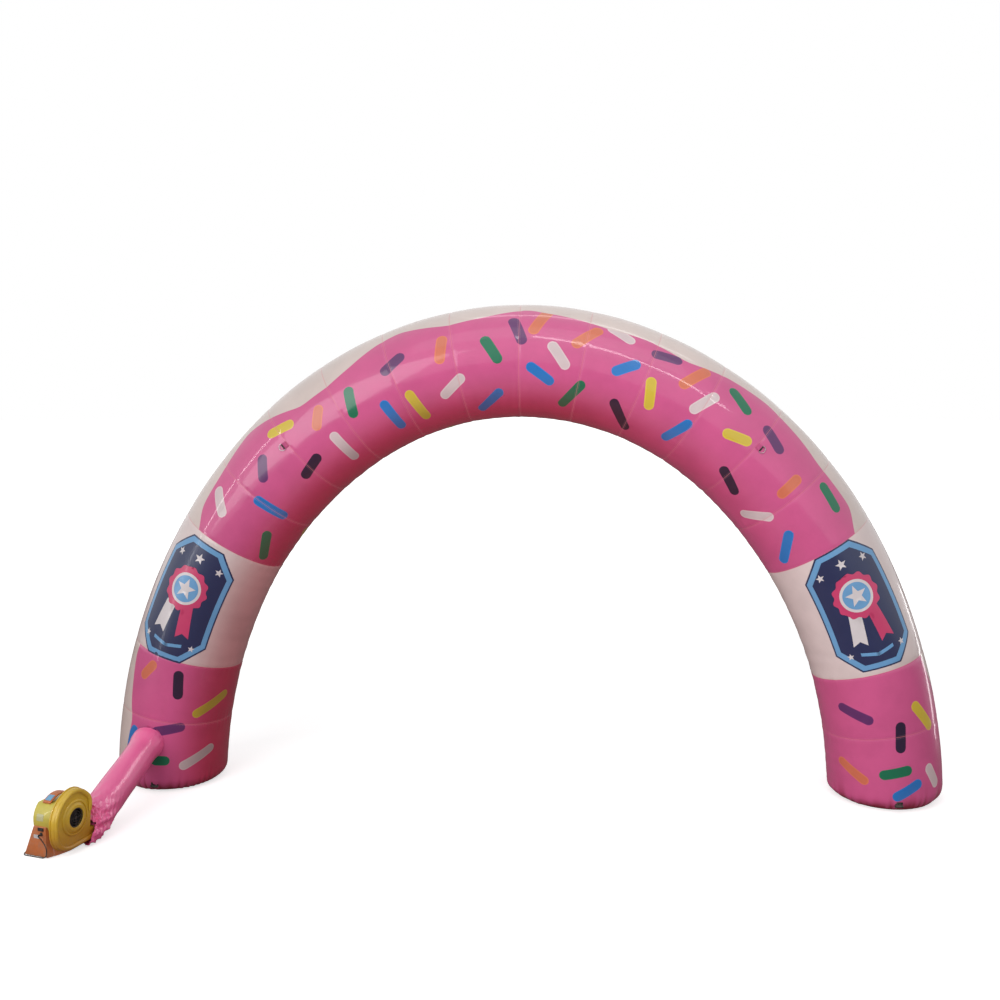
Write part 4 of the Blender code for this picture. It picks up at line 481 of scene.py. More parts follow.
# Edge of the icing on the front, metres along and degrees round; the back has its own wave
icingEdge = [(0.0, 88), (0.55, 86), (0.8, 74), (0.97, 62), (1.18, 54), (2.2, 33), (2.37, 48), (2.58, 48),
             (2.76, 48), (2.96, 53), (3.3, 59), (3.63, 54), (3.93, 43), (4.25, 49), (4.51, 47), (4.73, 52),
             (4.98, 57), (5.08, 62), (5.39, 51), (5.65, 47), (5.99, 59), (6.16, 54), (6.4, 41), (6.61, 34),
             (6.86, 33), (7.13, 52), (7.3, 60), (7.68, 47), (7.93, 42), (8.08, 28), (9.22, 50), (9.42, 44),
             (9.58, 40), (9.72, 34), (9.93, 38), (10.3, 40)]
edgeMarks, edgeTurns = np.array(icingEdge).T
edgeFine = np.linspace(0, archLength, 1400)
edgeCurve = np.convolve(np.pad(np.interp(edgeFine, edgeMarks, np.radians(edgeTurns)), 12, "edge"),
                        np.hanning(25) / np.hanning(25).sum(), "valid")


def nearTurn(angle):
    return (angle + math.pi) % math.tau - math.pi


backSet = {"seed": 23, "tries": 2600, "fromEnd": 0.16, "turns": (132, 268), "fromBand": 0.12, "apart": 0.29,
           "reach": (0.105, 0.125), "seenLength": 1.1, "seenTurn": 265}


def scatterBackSprinkles():
    # The back is out of the photograph's sight, so its sprinkles are laid out by chance
    draw = random.Random(backSet["seed"])
    names = ("navy", "purple", "green", "blue", "yellow", "orange", "white")
    placed = [((s1 + s2) / 2, math.radians(a1 + a2) / 2) for _, s1, a1, s2, a2 in sprinkles]
    added = []
    for _ in range(backSet["tries"]):
        along = draw.uniform(backSet["fromEnd"], archLength - backSet["fromEnd"])
        turn = math.radians(draw.uniform(*backSet["turns"]))
        fromFoot = min(along, archLength - along)
        if crownStart - tube["band"] - backSet["fromBand"] < fromFoot < crownStart + backSet["fromBand"]:
            continue
        near = min(math.hypot(along - other, tube["radius"] * abs(nearTurn(turn - angle)))
                   for other, angle in placed)
        if near < backSet["apart"]:
            continue
        placed.append((along, turn))
        heading = draw.uniform(0, math.pi)
        half = draw.uniform(*backSet["reach"])
        run = half * math.cos(heading)
        sweep = half * math.sin(heading) / tube["radius"]
        added.append((names[len(added) % len(names)], along - run, math.degrees(turn - sweep),
                      along + run, math.degrees(turn + sweep)))
    # The camera sees a little of the left foot's back, and the photograph has none there
    return [item for item in added
            if item[1] < archLength - backSet["seenLength"] or item[4] < backSet["seenTurn"]]


sprinkles += scatterBackSprinkles()


def sprinkleField(along, around):
    # Signed distance in metres to the nearest sprinkle's edge, and that sprinkle's colour
    nearest = np.full(along.shape, 9.0)
    tone = np.tile(np.array(tones["icing"]), (len(along), 1))
    radius = tube["radius"]
    for name, s1, a1, s2, a2 in sprinkles:
        if min(s1, s2) - 0.3 > along.max() or max(s1, s2) + 0.3 < along.min():
            continue
        a1, a2 = math.radians(a1), math.radians(a2)
        middle = (a1 + a2) / 2
        runX, runY = s2 - s1, (a2 - a1) * radius
        length = math.hypot(runX, runY)
        trim = min((sprinkleReach - 0.008) / length, 0.45)
        x = along - s1
        y = (nearTurn(around - middle) + middle - a1) * radius
        share = np.clip((x * runX + y * runY) / length ** 2, trim, 1 - trim)
        gap = np.hypot(x - runX * share, y - runY * share) - sprinkleReach
        closer = gap < nearest
        nearest = np.where(closer, gap, nearest)
        tone[closer] = tones[name]
    return nearest, tone


def icingField(along, around):
    # Metres inside the icing; the dough shows along the tube's outer side
    front = np.interp(along, edgeFine, edgeCurve)
    back = math.pi - np.interp(archLength - along, edgeFine, edgeCurve) \
        + 0.1 * np.sin(along * 4.1 + 0.6) + 0.06 * np.sin(along * 9.3)
    turn = around % math.tau
    inFront = np.where(turn > math.pi * 1.5, math.tau, front - turn)
    return np.maximum(inFront, turn - back) * tube["radius"]


# Seams: half widths of the taped line, and the two rows of stitches beside it
seamSet = {"line": (0.0022, 0.0042), "stitchRow": 0.011, "stitchLength": 0.012}


def makeSkinMaterial(name, banded):
    material, tree, shader = newMaterial(name)

    def readAttribute(label, output="Fac"):
        node = tree.nodes.new("ShaderNodeAttribute")
        node.attribute_name = label
        return node.outputs[output]

    uv = clothPlace(tree)
    # Painted shade: the pink and the pale bands darken on the tube's inner side
    inner = readAttribute("innerSide")
    if banded:
        colour = addMix(tree, inner, tones["band"], tones["bandDeep"])
    else:
        icing = addMix(tree, inner, tones["icing"], tones["icingDeep"])
        iced = addRange(tree, readAttribute("icingEdge"), -0.003, 0.003)
        colour = addMix(tree, iced, tones["dough"], icing)
        edge = readAttribute("sprinkleEdge")
        # Painted shade on the sprinkles: darker and more crimson on the inner side
        shadow = addRange(tree, inner, 0.0, 1.0, 1.0, 0.62)
        rim = addRange(tree, edge, -0.011, -0.007, 1.0, 1.12)
        printed = scaledColour(tree, readAttribute("sprinkleTone", "Color"), multiply(tree, rim, shadow))
        printed = addStainOrShade(tree, printed, inner, 0.2, srgb(140, 46, 30))
        covered = multiply(tree, addRange(tree, edge, 0.0025, -0.0025), iced)
        colour = addMix(tree, covered, colour, printed)
    mottled, cloth = addCloth(tree, colour, uv, 0.95, 1.04)
    seam = readAttribute("seamGap")
    colour = addMix(tree, addRange(tree, seam, *seamSet["line"], 0.4, 0.0), mottled, tones["seam"])
    fromRow = addMath(tree, "ABSOLUTE", addMath(tree, "SUBTRACT", seam, seamSet["stitchRow"]))
    stitchWave = sineOf(tree, addSplit(tree, uv)[1], math.tau / seamSet["stitchLength"])
    stitch = multiply(tree, addRange(tree, fromRow, 0.0008, 0.0016, 1.0, 0.0),
                      addRange(tree, stitchWave, -0.4, 0.0))
    colour = addStainOrShade(tree, colour, stitch, 0.28, tones["stitch"])
    # Painted shade in the folds and along the bottom edge of the feet
    creaseShade = addMath(tree, "MULTIPLY", readAttribute("gatherDark"), 0.85, True)
    colour = addMix(tree, creaseShade, colour, tones["gather"])
    colour = addDust(tree, colour, 0.16, 0.14, srgb(110, 40, 60))
    setFinish(tree, shader, colour, addRange(tree, cloth["Mottle"], 0.3, 0.7, 0.34, 0.44), 0.6, 0.09)
    shader.inputs["Specular IOR Level"].default_value = 0.35
    addBump(tree, shader, addMath(tree, "ADD", cloth["Height"], multiply(tree, stitch, 0.8)), 0.35, 0.0012)
    return material


icingMaterial = makeSkinMaterial("icingCloth", False)
bandMaterial = makeSkinMaterial("bandCloth", True)


def makePiece(name, data, body, replaced=()):
    piece = bpy.data.objects.new(name, data)
    scene.collection.objects.link(piece)
    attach(piece, body)
    if replaced:
        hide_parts(*replaced)
    return piece


def meshFrom(bm, name, *materials):
    mesh = bpy.data.meshes.new(name)
    bm.to_mesh(mesh)
    bm.free()
    for material in materials:
        mesh.materials.append(material)
    return mesh


def setValues(mesh, name, values, kind="FLOAT", field="value"):
    attribute = mesh.attributes.new(name, kind, "POINT")
    attribute.data.foreach_set(field, np.ascontiguousarray(values, np.float32).ravel())


def wrapGrid(name, material, columns, rows, makePlaces, makeValues=None):
    # A flat grid is rolled round into a tube of cloth; its UV map keeps metres along and around
    bm = bmesh.new()
    bmesh.ops.create_grid(bm, x_segments=columns, y_segments=rows, size=0.5)
    mesh = meshFrom(bm, name, material)
    flat = np.empty(len(mesh.vertices) * 3, np.float32)
    mesh.vertices.foreach_get("co", flat)
    flat = flat.reshape(-1, 3)
    column = np.rint((flat[:, 0] + 0.5) * columns) / columns
    around = -math.pi + math.tau * (np.rint((flat[:, 1] + 0.5) * rows) / rows)
    places, metres = makePlaces(column, around)
    mesh.vertices.foreach_set("co", np.ascontiguousarray(places, np.float32).ravel())
    corner = np.empty(len(mesh.loops), np.int32)
    mesh.loops.foreach_get("vertex_index", corner)
    layer = mesh.uv_layers.new(name="cloth")
    layer.data.foreach_set("uv", np.ascontiguousarray(metres[corner], np.float32).ravel())
    if makeValues:
        makeValues(mesh, column, around)
    bm = bmesh.new()
    bm.from_mesh(mesh)
    bmesh.ops.remove_doubles(bm, verts=[vert for vert in bm.verts if vert.is_boundary], dist=0.00002)
    bmesh.ops.reverse_faces(bm, faces=bm.faces)
    bm.to_mesh(mesh)
    bm.free()
    mesh.shade_smooth()
    return mesh


# Painted shade on the inner side of the tube: where it starts round the tube, and how it grows up the legs
innerShadeSet = {"start": 0.1, "spread": 0.85, "rise": 1.9, "riseReach": 2.8, "least": 0.05}


def makeSkinSection(name, start, end, node, material):
    columns = max(24, round((end - start) / tube["cellLength"]))
    atRightFoot, atLeftFoot = start == 0.0, end == archLength

    def alongOf(column):
        # Closer together near seams, and closest at the ground
        share = column - 0.105 * np.sin(math.tau * column)
        if atRightFoot:
            share = column ** 1.25
        if atLeftFoot:
            share = 1 - (1 - column) ** 1.25
        return start + (end - start) * share

    def makePlaces(column, around):
        along = alongOf(column)
        places = skinPlaces(along, around, skinRelief(along, around))
        return places, np.stack([along, around * tube["radius"]], 1)

    def makeValues(mesh, column, around):
        along = alongOf(column)
        # Painted shade: its weight round the tube and up the legs
        inner = np.clip((-np.sin(around) - innerShadeSet["start"]) / innerShadeSet["spread"], 0, 1)
        shade = np.clip((along - innerShadeSet["rise"]) / innerShadeSet["riseReach"], innerShadeSet["least"], 1)
        setValues(mesh, "innerSide", inner * inner * (3 - 2 * inner) * shade)
        setValues(mesh, "icingEdge", icingField(along, around))
        edge, tone = sprinkleField(along, around)
        setValues(mesh, "sprinkleEdge", edge)
        setValues(mesh, "sprinkleTone", tone, "FLOAT_COLOR", "color")
        # Painted shade in the creases between the gathers at the feet, and a painted darker band along the bottom
        # edge
        foot = np.minimum(along, archLength - along)
        left = start > archLength / 2
        reach = gather["darkReach"] + gather["darkSpread"] * sumWaves(reachWaves[left], around)
        reach = np.clip(reach, *gather["darkLimits"])
        dark = np.exp(-(np.clip(foot - gather["start"], 0, None) / reach) ** 1.5)
        dark = dark * np.clip(1.15 - np.abs(sumWaves(gatherWaves[left], around)) * 1.6, 0, 1)
        setValues(mesh, "gatherDark", dark + 0.8 * np.exp(-(foot / gather["hemReach"]) ** 2))
        # No seam tape where the foot meets the ground
        setValues(mesh, "seamGap", np.minimum(along - start + 9 * atRightFoot, end - along + 9 * atLeftFoot))

    mesh = wrapGrid(name, material, columns, tube["cellsAround"], makePlaces, makeValues)
    makePiece(name, mesh, archBody, [node])


for index, (label, nodeName, material, slot) in enumerate((
        ("footCloth", "foot_gore_", icingMaterial, "pink_cloth"),
        ("legCloth", "leg_gore_", icingMaterial, "pink_cloth"),
        ("bandCloth", "badge_band_", bandMaterial, "cream_cloth"))):
    start, end = seamMarks[index], seamMarks[index + 1]
    makeSkinSection(label + "Right", start, end, nodeName + "right", material)
    makeSkinSection(label + "Left", archLength - end, archLength - start, nodeName + "left", material)
for index in range(tube["crownGores"]):
    start, end = crownStart + crownGore * index, crownStart + crownGore * (index + 1)
    number = "%02d" % (index + 1)
    makeSkinSection("crownCloth" + number, start, end, "crown_gore_" + number, icingMaterial)
print("air tube ready")


# Base panels: the cloth under each foot, a flat disc with rings of faces inside its edge
basePanel = {"rings": (0.004, 0.02, 0.06, 0.1), "wall": 0.0012, "groundGap": 0.0003}
baseMaterial = clothMaterial("baseCloth", srgb(150, 46, 74), objectPlace, (0.9, 1.05), (0.6,), (0.4, 0.001),
                             dust=(0.05, 0.5, srgb(120, 90, 84)))


def makeBasePanel(name, node):
    low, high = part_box(node)
    middle = Vector(((low[0] + high[0]) / 2, (low[1] + high[1]) / 2, basePanel["groundGap"]))
    bm = bmesh.new()
    bmesh.ops.create_circle(bm, cap_ends=True, segments=96, radius=(high[0] - low[0]) / 2,
                            matrix=Matrix.Translation(middle))
    for width in basePanel["rings"]:
        face = max(bm.faces, key=lambda item: item.calc_area())
        bmesh.ops.inset_region(bm, faces=[face], thickness=width, depth=0)
    bmesh.ops.solidify(bm, geom=bm.faces[:], thickness=-basePanel["wall"])
    bmesh.ops.recalc_face_normals(bm, faces=bm.faces)
    makePiece(name, meshFrom(bm, name, baseMaterial), archBody, [node])


makeBasePanel("baseClothLeft", "base_panel_left")
makeBasePanel("baseClothRight", "base_panel_right")
print("base panels ready")


# Printed badges on the two pale bands: flat shapes laid on the skin
badge = {"width": 0.65, "height": 1.01, "corner": 0.17, "lift": 0.0011, "step": 0.0006,
         "left": (8.635, 11.0), "right": (1.695, 4.0), "sliceWidth": 0.024, "sliceHeight": 0.042}
badgeMaterials = [clothMaterial("badge" + name + "Print", tone, objectPlace, (0.94, 1.05), (0.36, 0.35, 0.16),
                                (0.3, 0.001)) for name, tone in badgeTones.items()]


def cutCorners(halfWidth, halfHeight, corner):
    upper = [(halfWidth, halfHeight - corner), (halfWidth - corner, halfHeight),
             (corner - halfWidth, halfHeight), (-halfWidth, halfHeight - corner)]
    return upper + [(-x, -y) for x, y in upper]


def roundShape(x, y, radius, count, wave=0.0, lobes=0):
    points = []
    for step in range(count):
        turn = math.tau * step / count
        size = radius * (1 + wave * math.cos(lobes * turn))
        points.append((x + size * math.cos(turn), y + size * math.sin(turn)))
    return points


def starShape(x, y, radius, tips=5, share=0.42):
    points = []
    for step in range(tips * 2):
        size = radius if step % 2 == 0 else radius * share
        turn = math.pi / 2 + math.pi * step / tips
        points.append((x + size * math.cos(turn), y + size * math.sin(turn)))
    return points


def badgeShapes():
    # Layer, print and outline: a cut-cornered plaque with a rosette, ribbons and stars
    navy, blue, white, pink = range(4)
    halfWidth, halfHeight, corner = badge["width"] / 2, badge["height"] / 2, badge["corner"]
    shapes = [(0, navy, cutCorners(halfWidth, halfHeight, corner)),
              (1, blue, cutCorners(halfWidth - 0.012, halfHeight - 0.012, corner - 0.005)),
              (2, navy, cutCorners(halfWidth - 0.052, halfHeight - 0.052, corner - 0.022)),
              (3, white, [(-0.115, 0.0), (-0.02, 0.0), (-0.055, -0.3), (-0.105, -0.255), (-0.165, -0.285)]),
              (3, pink, [(0.02, 0.0), (0.115, 0.0), (0.165, -0.285), (0.105, -0.255), (0.055, -0.3)]),
              (4, pink, roundShape(0, 0.1, 0.178, 96, 0.055, 12)),
              (5, white, roundShape(0, 0.1, 0.13, 48)),
              (6, blue, roundShape(0, 0.1, 0.108, 48)),
              (7, white, starShape(0, 0.1, 0.088))]
    for x, y, size in ((-0.19, 0.34, 0.036), (0.19, 0.34, 0.036), (0, 0.37, 0.046), (-0.21, -0.36, 0.03),
                       (0.21, -0.36, 0.03)):
        shapes.append((3, white, starShape(x, y, size)))
    shapes.append((3, blue, [(-0.13, -0.345), (0, -0.375), (0.13, -0.345), (0.13, -0.372), (0, -0.402),
                             (-0.13, -0.372)]))
    return shapes


def sliceFaces(bm, axis, places):
    # Cuts across flat faces, so that they can bend
    for place in places:
        bmesh.ops.bisect_plane(bm, geom=bm.verts[:] + bm.edges[:] + bm.faces[:], plane_co=axis * place,
                               plane_no=axis)


def makeBadge(name, mark, turn, upward):
    bm = bmesh.new()
    for layer, tone, outline in badgeShapes():
        face = bm.faces.new([bm.verts.new((x, y, layer)) for x, y in outline])
        face.material_index = tone
    bmesh.ops.triangulate(bm, faces=[face for face in bm.faces if len(face.verts) > 4])
    sliceFaces(bm, Vector((1, 0, 0)), [step * badge["sliceWidth"] for step in range(-14, 15)])
    sliceFaces(bm, Vector((0, 1, 0)), [step * badge["sliceHeight"] for step in range(-12, 13)])
    flat = np.array([vert.co[:] for vert in bm.verts])
    along = mark + flat[:, 1] * upward
    around = math.radians(turn) + flat[:, 0] * upward / tube["radius"]
    lift = skinRelief(along, around) + badge["lift"] + badge["step"] * flat[:, 2]
    for vert, place in zip(bm.verts, skinPlaces(along, around, lift)):
        vert.co = place
    bm.normal_update()
    if sum(face.normal.y * face.calc_area() for face in bm.faces) > 0:
        bmesh.ops.reverse_faces(bm, faces=bm.faces)
    mesh = meshFrom(bm, name, *badgeMaterials)
    mesh.shade_smooth()
    makePiece(name, mesh, archBody)


makeBadge("badgePrintLeft", *badge["left"], -1)
makeBadge("badgePrintRight", *badge["right"], 1)
print("badges ready")


# Finishes for the small pieces
pinkWebbing = webbingMaterial("pinkWebbing", srgb(196, 84, 132))
blackWebbing = webbingMaterial("blackWebbing", srgb(38, 36, 38))
zincSteel = metalMaterial("zincSteel", srgb(205, 205, 208))
# The yellow shells carry painted shade, orange-brown towards their foot
yellowShell = plasticMaterial("yellowShell", srgb(216, 180, 52), 0.34, 500.0, 0.15, 0.25, 0.16,
                              srgb(176, 104, 24))
orangeShell = plasticMaterial("orangeShell", srgb(196, 112, 62), 0.46, 420.0, 0.35, 0.0, 0.2)
bluePad = plasticMaterial("bluePad", srgb(120, 170, 205), 0.6, 900.0, 0.1)
blackPlastic = plasticMaterial("blackPlastic", srgb(34, 34, 36), 0.45, 800.0, 0.2)
greyNylon = plasticMaterial("greyNylon", srgb(62, 62, 66), 0.5, 600.0, 0.1)
drumShell = plasticMaterial("drumShell", srgb(204, 190, 78), 0.36, 500.0, 0.2, 0.15, 0.2)
motorPaint = plasticMaterial("motorPaint", srgb(74, 78, 84), 0.4, 300.0, 0.15)
blackRubber = plasticMaterial("blackRubber", srgb(30, 30, 31), 0.72, 1200.0, 0.4)
labelPaper = plasticMaterial("labelFilm", srgb(206, 206, 206), 0.35, 1500.0, 0.1)
drumFilm = plasticMaterial("drumFilm", srgb(196, 194, 146), 0.24, 1500.0, 0.1, 0.4)


def meshPiece(name, bm, material, body, angle, replaced=()):
    # A new shape has its normals set here; a copy keeps those of the CAD
    if not replaced:
        bmesh.ops.recalc_face_normals(bm, faces=bm.faces)
    mesh = meshFrom(bm, name, material)
    mesh.shade_smooth()
    mesh.set_sharp_from_angle(angle=math.radians(angle))
    return makePiece(name, mesh, body, replaced)


def smoothCopy(name, node, material, body, angle=32.0):
    # A CAD node's shape with shared corners, so that its curved walls shade smoothly
    bm = bmesh.new()
    bm.from_mesh(nodes[node].data)
    bmesh.ops.remove_doubles(bm, verts=bm.verts, dist=0.00001)
    bmesh.ops.dissolve_limit(bm, angle_limit=math.radians(1.0), verts=bm.verts, edges=bm.edges)
    for face in bm.faces:
        face.material_index = 0
    return meshPiece(name, bm, material, body, angle, [node])


def ringOf(middle, across, upward, radius, count=20):
    turns = [math.tau * step / count for step in range(count)]
    return [middle + (across * math.cos(turn) + upward * math.sin(turn)) * radius for turn in turns]


def bridgeRings(bm, rings):
    # Loops of points bridged one to the next, with a cap at each end
    loops = []
    for ring in rings:
        verts = [bm.verts.new(place) for place in ring]
        loops.append([bm.edges.new((vert, verts[index - 1])) for index, vert in enumerate(verts)])
    for first, second in zip(loops, loops[1:]):
        bmesh.ops.bridge_loops(bm, edges=first + second)
    bmesh.ops.edgeloop_fill(bm, edges=loops[0])
    bmesh.ops.edgeloop_fill(bm, edges=loops[-1])


for side in ("left", "right"):
    for end in ("front", "rear"):
        place = end + "_" + side
        label = end.title() + side.title()
        smoothCopy("tieWebbing" + label, "tie_tab_" + place, pinkWebbing, archBody)
        smoothCopy("tieRing" + label, "tie_ring_" + place, zincSteel, "ring_" + place, 60)
        smoothCopy("anchorWebbing" + label, "anchor_tab_" + place, blackWebbing, archBody)

# Half length and radius of the black loop on each ring's bar, at its ends and at its rims
tieLoop = {"ends": (0.0238, 0.0046), "rims": (0.0232, 0.0056)}


def makeTieLoops():
    endReach, endRadius = tieLoop["ends"]
    rimReach, rimRadius = tieLoop["rims"]
    profile = ((-endReach, endRadius), (-rimReach, rimRadius), (rimReach, rimRadius), (endReach, endRadius))
    for joint in frame["joints"]:
        if not joint["name"].startswith("ring_swing"):
            continue
        middle, axis = Vector(joint["pos_m"]), Vector(joint["axis"]).normalized()
        side = axis.cross(Vector((0, 0, 1))).normalized()
        other = axis.cross(side)
        bm = bmesh.new()
        bridgeRings(bm, [ringOf(middle + axis * reach, side, other, radius) for reach, radius in profile])
        label = "".join(word.title() for word in joint["name"].split("_")[2:])
        meshPiece("tieLoop" + label, bm, blackWebbing, archBody, 50)


makeTieLoops()
smoothCopy("zipTape", "zip_tape", pinkWebbing, archBody)
smoothCopy("zipSlider", "zip_slider", zincSteel, "zip_runner")
smoothCopy("zipPull", "zip_pull", zincSteel, "zip_pull_tab")
print("tie points, anchors and zip ready")

# Blower: the moulded shells keep their CAD shapes
turningBodies = {"impeller": "fan_rotor", "motor_shaft": "fan_rotor", "rocker_switch": "switch_rocker"}
for name, node, material, slot in (
        ("scrollFront", "volute_front", yellowShell, "yellow_plastic"),
        ("scrollBack", "volute_back", yellowShell, "yellow_plastic"),
        ("intakeRing", "intake_ring", yellowShell, "yellow_plastic"),
        ("motorDrum", "motor_cover", drumShell, "yellow_plastic"),
        ("standShell", "blower_stand", orangeShell, "orange_plastic"),
        ("carryGrip", "carry_handle", orangeShell, "orange_plastic"),
        ("gripPad", "handle_pad", bluePad, "blue_pad"),
        ("intakeGrille", "intake_grille", blackPlastic, "black_plastic"),
        ("fanWheel", "impeller", greyNylon, "grey_nylon"),
        ("fanShaft", "motor_shaft", zincSteel, "zinc_steel"),
        ("motorCase", "motor", motorPaint, "motor_enamel"),
        ("motorPlate", "motor_plate", zincSteel, "zinc_steel"),
        ("switchFrame", "switch_bezel", blackPlastic, "black_plastic"),
        ("switchRocker", "rocker_switch", blackPlastic, "black_plastic"),
        ("standStripNear", "stand_strip_near", blackRubber, "black_rubber"),
        ("standStripFar", "stand_strip_far", blackRubber, "black_rubber"),
        ("sleeveStrap", "sleeve_strap", blackWebbing, "black_webbing"),
        ("strapBuckle", "strap_buckle", blackPlastic, "black_plastic"),
        ("cordGland", "cord_gland", blackRubber, "black_rubber")):
    smoothCopy(name, node, material, turningBodies.get(node, archBody),
               40 if slot == "yellow_plastic" else 35)


# Blower extras: the rolled bead round the face, the cone round the intake, blank labels
scroll = {"radii": (0.168, 0.197, 0.214, 0.211, 0.216, 0.243, 0.217), "fanHeight": 0.262, "outletEnd": 0.235,
          "arcSteps": 96, "outletSteps": 12}
bead = {"width": 0.034, "rise": 0.011, "steps": 12, "edgeDrop": 0.0045, "sink": 0.001, "bedDepth": 0.006,
        "inset": 0.0005, "endGap": 0.006}


def beadStations():
    # Places on the face's edge in the fan's plane, and the way out from each
    radii = scroll["radii"]
    stations = []
    for step in range(scroll["arcSteps"] + 1):
        place = (len(radii) - 1) * step / scroll["arcSteps"]
        low = min(int(place), len(radii) - 2)
        share = place - low
        radius = radii[low] + (radii[low + 1] - radii[low]) * (3 - 2 * share) * share ** 2
        turn = math.pi * 1.5 * step / scroll["arcSteps"]
        stations.append((radius * math.cos(turn), radius * math.sin(turn), math.cos(turn), math.sin(turn)))
    for step in range(1, scroll["outletSteps"] + 1):
        along = (scroll["outletEnd"] - bead["endGap"]) * step / scroll["outletSteps"]
        stations.append((along, -radii[-1], 0.0, -1.0))
    return stations


def makeFaceBead():
    stations = beadStations()
    rings = []
    for index, (y, z, outY, outZ) in enumerate(stations):
        fade = min(1.0, 0.25 + index / 10, 0.3 + (len(stations) - 1 - index) / 6)
        profile = []
        for step in range(bead["steps"] + 1):
            turn = math.pi * step / bead["steps"]
            rise = bead["rise"] * fade * math.sin(turn) ** 0.8 \
                - bead["edgeDrop"] * abs(math.cos(turn)) ** 3 - bead["sink"]
            profile.append((rise, bead["inset"] + bead["width"] * (1 - math.cos(turn)) / 2))
        profile += [(-bead["bedDepth"], bead["width"] * 0.8), (-bead["bedDepth"], bead["width"] * 0.3)]
        rings.append([blowerPlace @ Vector((rise, y - outY * inset, scroll["fanHeight"] + z - outZ * inset))
                      for rise, inset in profile])
    bm = bmesh.new()
    bridgeRings(bm, rings)
    meshPiece("faceBead", bm, yellowShell, archBody, 50)


# Intake cone: radius and distance along the fan shaft, spun about the shaft
intakeCone = {"steps": 72, "profile": [(0.133, -0.0118), (0.1325, -0.0095), (0.129, -0.0045), (0.124, -0.0012),
                                       (0.1185, 0.0), (0.1135, -0.0015), (0.1125, -0.006), (0.1125, -0.0118)]}


def makeIntakeCone():
    bm = bmesh.new()
    verts = [bm.verts.new((radius, 0, along)) for radius, along in intakeCone["profile"]]
    edges = [bm.edges.new((verts[index], verts[(index + 1) % len(verts)])) for index in range(len(verts))]
    bmesh.ops.spin(bm, geom=verts + edges, axis=(0, 0, 1), cent=(0, 0, 0), steps=intakeCone["steps"],
                   angle=math.tau, use_merge=True)
    place = blowerPlace @ Matrix.Translation((0, 0, scroll["fanHeight"])) @ Matrix.Rotation(math.pi / 2, 4, "Y")
    bmesh.ops.transform(bm, matrix=place, verts=bm.verts)
    meshPiece("intakeCone", bm, yellowShell, archBody, 40)


makeFaceBead()
makeIntakeCone()

# Blank labels: one flat on the stand, one bent round the drum
standLabel = {"size": (0.05, 0.027, 0.0006), "place": (-0.214, -0.1681, 0.156)}
drumLabel = {"size": (0.06, 0.05, 0.0005), "side": -0.185, "radius": 0.1602, "turn": 12}
labelCorner = {"radius": 0.006, "segments": 6}


def makeLabel(name, size, place, material, bend=0.0):
    # Bend rolls the label about its own X axis to lie on a drum
    width, height, wall = size
    bm = bmesh.new()
    bmesh.ops.create_grid(bm, x_segments=1, y_segments=1, size=0.5)
    bmesh.ops.scale(bm, vec=(width, height, 1), verts=bm.verts)
    bmesh.ops.bevel(bm, geom=bm.verts[:], offset=labelCorner["radius"], segments=labelCorner["segments"],
                    profile=0.5, affect="VERTICES", material=-1)
    sliceFaces(bm, Vector((0, 1, 0)), [step * height / 9.5 for step in range(-4, 5)])
    top = bmesh.ops.extrude_face_region(bm, geom=bm.faces[:])["geom"]
    bmesh.ops.translate(bm, verts=[item for item in top if isinstance(item, bmesh.types.BMVert)],
                        vec=(0, 0, wall))
    if bend:
        for vert in bm.verts:
            turn = vert.co.y / bend
            radius = bend + vert.co.z
            vert.co = (vert.co.x, radius * math.sin(turn), radius * math.cos(turn) - bend)
    bmesh.ops.transform(bm, matrix=blowerPlace @ place, verts=bm.verts)
    meshPiece(name, bm, material, archBody, 40)


makeLabel("standLabel", standLabel["size"],
          Matrix.Translation(standLabel["place"]) @ Matrix.Rotation(math.pi / 2, 4, "X"), labelPaper)
drumTurn, drumRadius = math.radians(drumLabel["turn"]), drumLabel["radius"]
drumPlace = Matrix.Translation((drumLabel["side"], -drumRadius * math.cos(drumTurn),
                                scroll["fanHeight"] + drumRadius * math.sin(drumTurn)))
makeLabel("drumLabel", drumLabel["size"], drumPlace @ Matrix.Rotation(math.pi / 2 - drumTurn, 4, "X"),
          drumFilm, drumRadius)
print("blower ready")


# Filling sleeve: loose cloth gathered on the outlet, then a smooth tube to the foot
sleeve = {"radius": 0.128, "endRadius": 0.12, "entryMark": 0.42, "entryTurn": 10.0, "depth": 0.03,
          "columns": 220, "rows": 160, "mouthSide": -0.05, "swellLength": 0.035, "swellShift": 0.035,
          "swellHeight": 0.136, "foldHeight": 0.012, "foldReach": 0.1, "fineHeight": 0.0035,
          "ridgeHeight": 0.016, "ridgeReach": 0.06, "sway": 0.0015, "flare": 0.017, "flareFold": 0.0005,
          "flareReach": 0.07, "groundGap": 0.002, "clothRadius": 0.125}

# Cuff: distance past the outlet's mouth, sideways shift, height, half width, half height, squareness
cuff = [(-0.062, 0.0, 0.09, 0.0575, 0.0525, 5.0), (0.0, 0.0, 0.09, 0.0575, 0.0525, 5.0),
        (0.009, -0.001, 0.091, 0.062, 0.062, 4.5), (0.002, -0.005, 0.094, 0.068, 0.074, 4.0),
        (-0.04, -0.007, 0.096, 0.071, 0.08, 3.6), (-0.1, -0.008, 0.092, 0.07, 0.077, 3.4),
        (-0.12, -0.006, 0.09, 0.079, 0.08, 3.0), (-0.102, -0.004, 0.094, 0.09, 0.088, 2.6),
        (-0.055, 0.002, 0.102, 0.102, 0.098, 2.3), (-0.015, 0.014, 0.114, 0.114, 0.11, 2.1),
        (0.02, 0.028, 0.127, 0.124, 0.121, 2.0)]


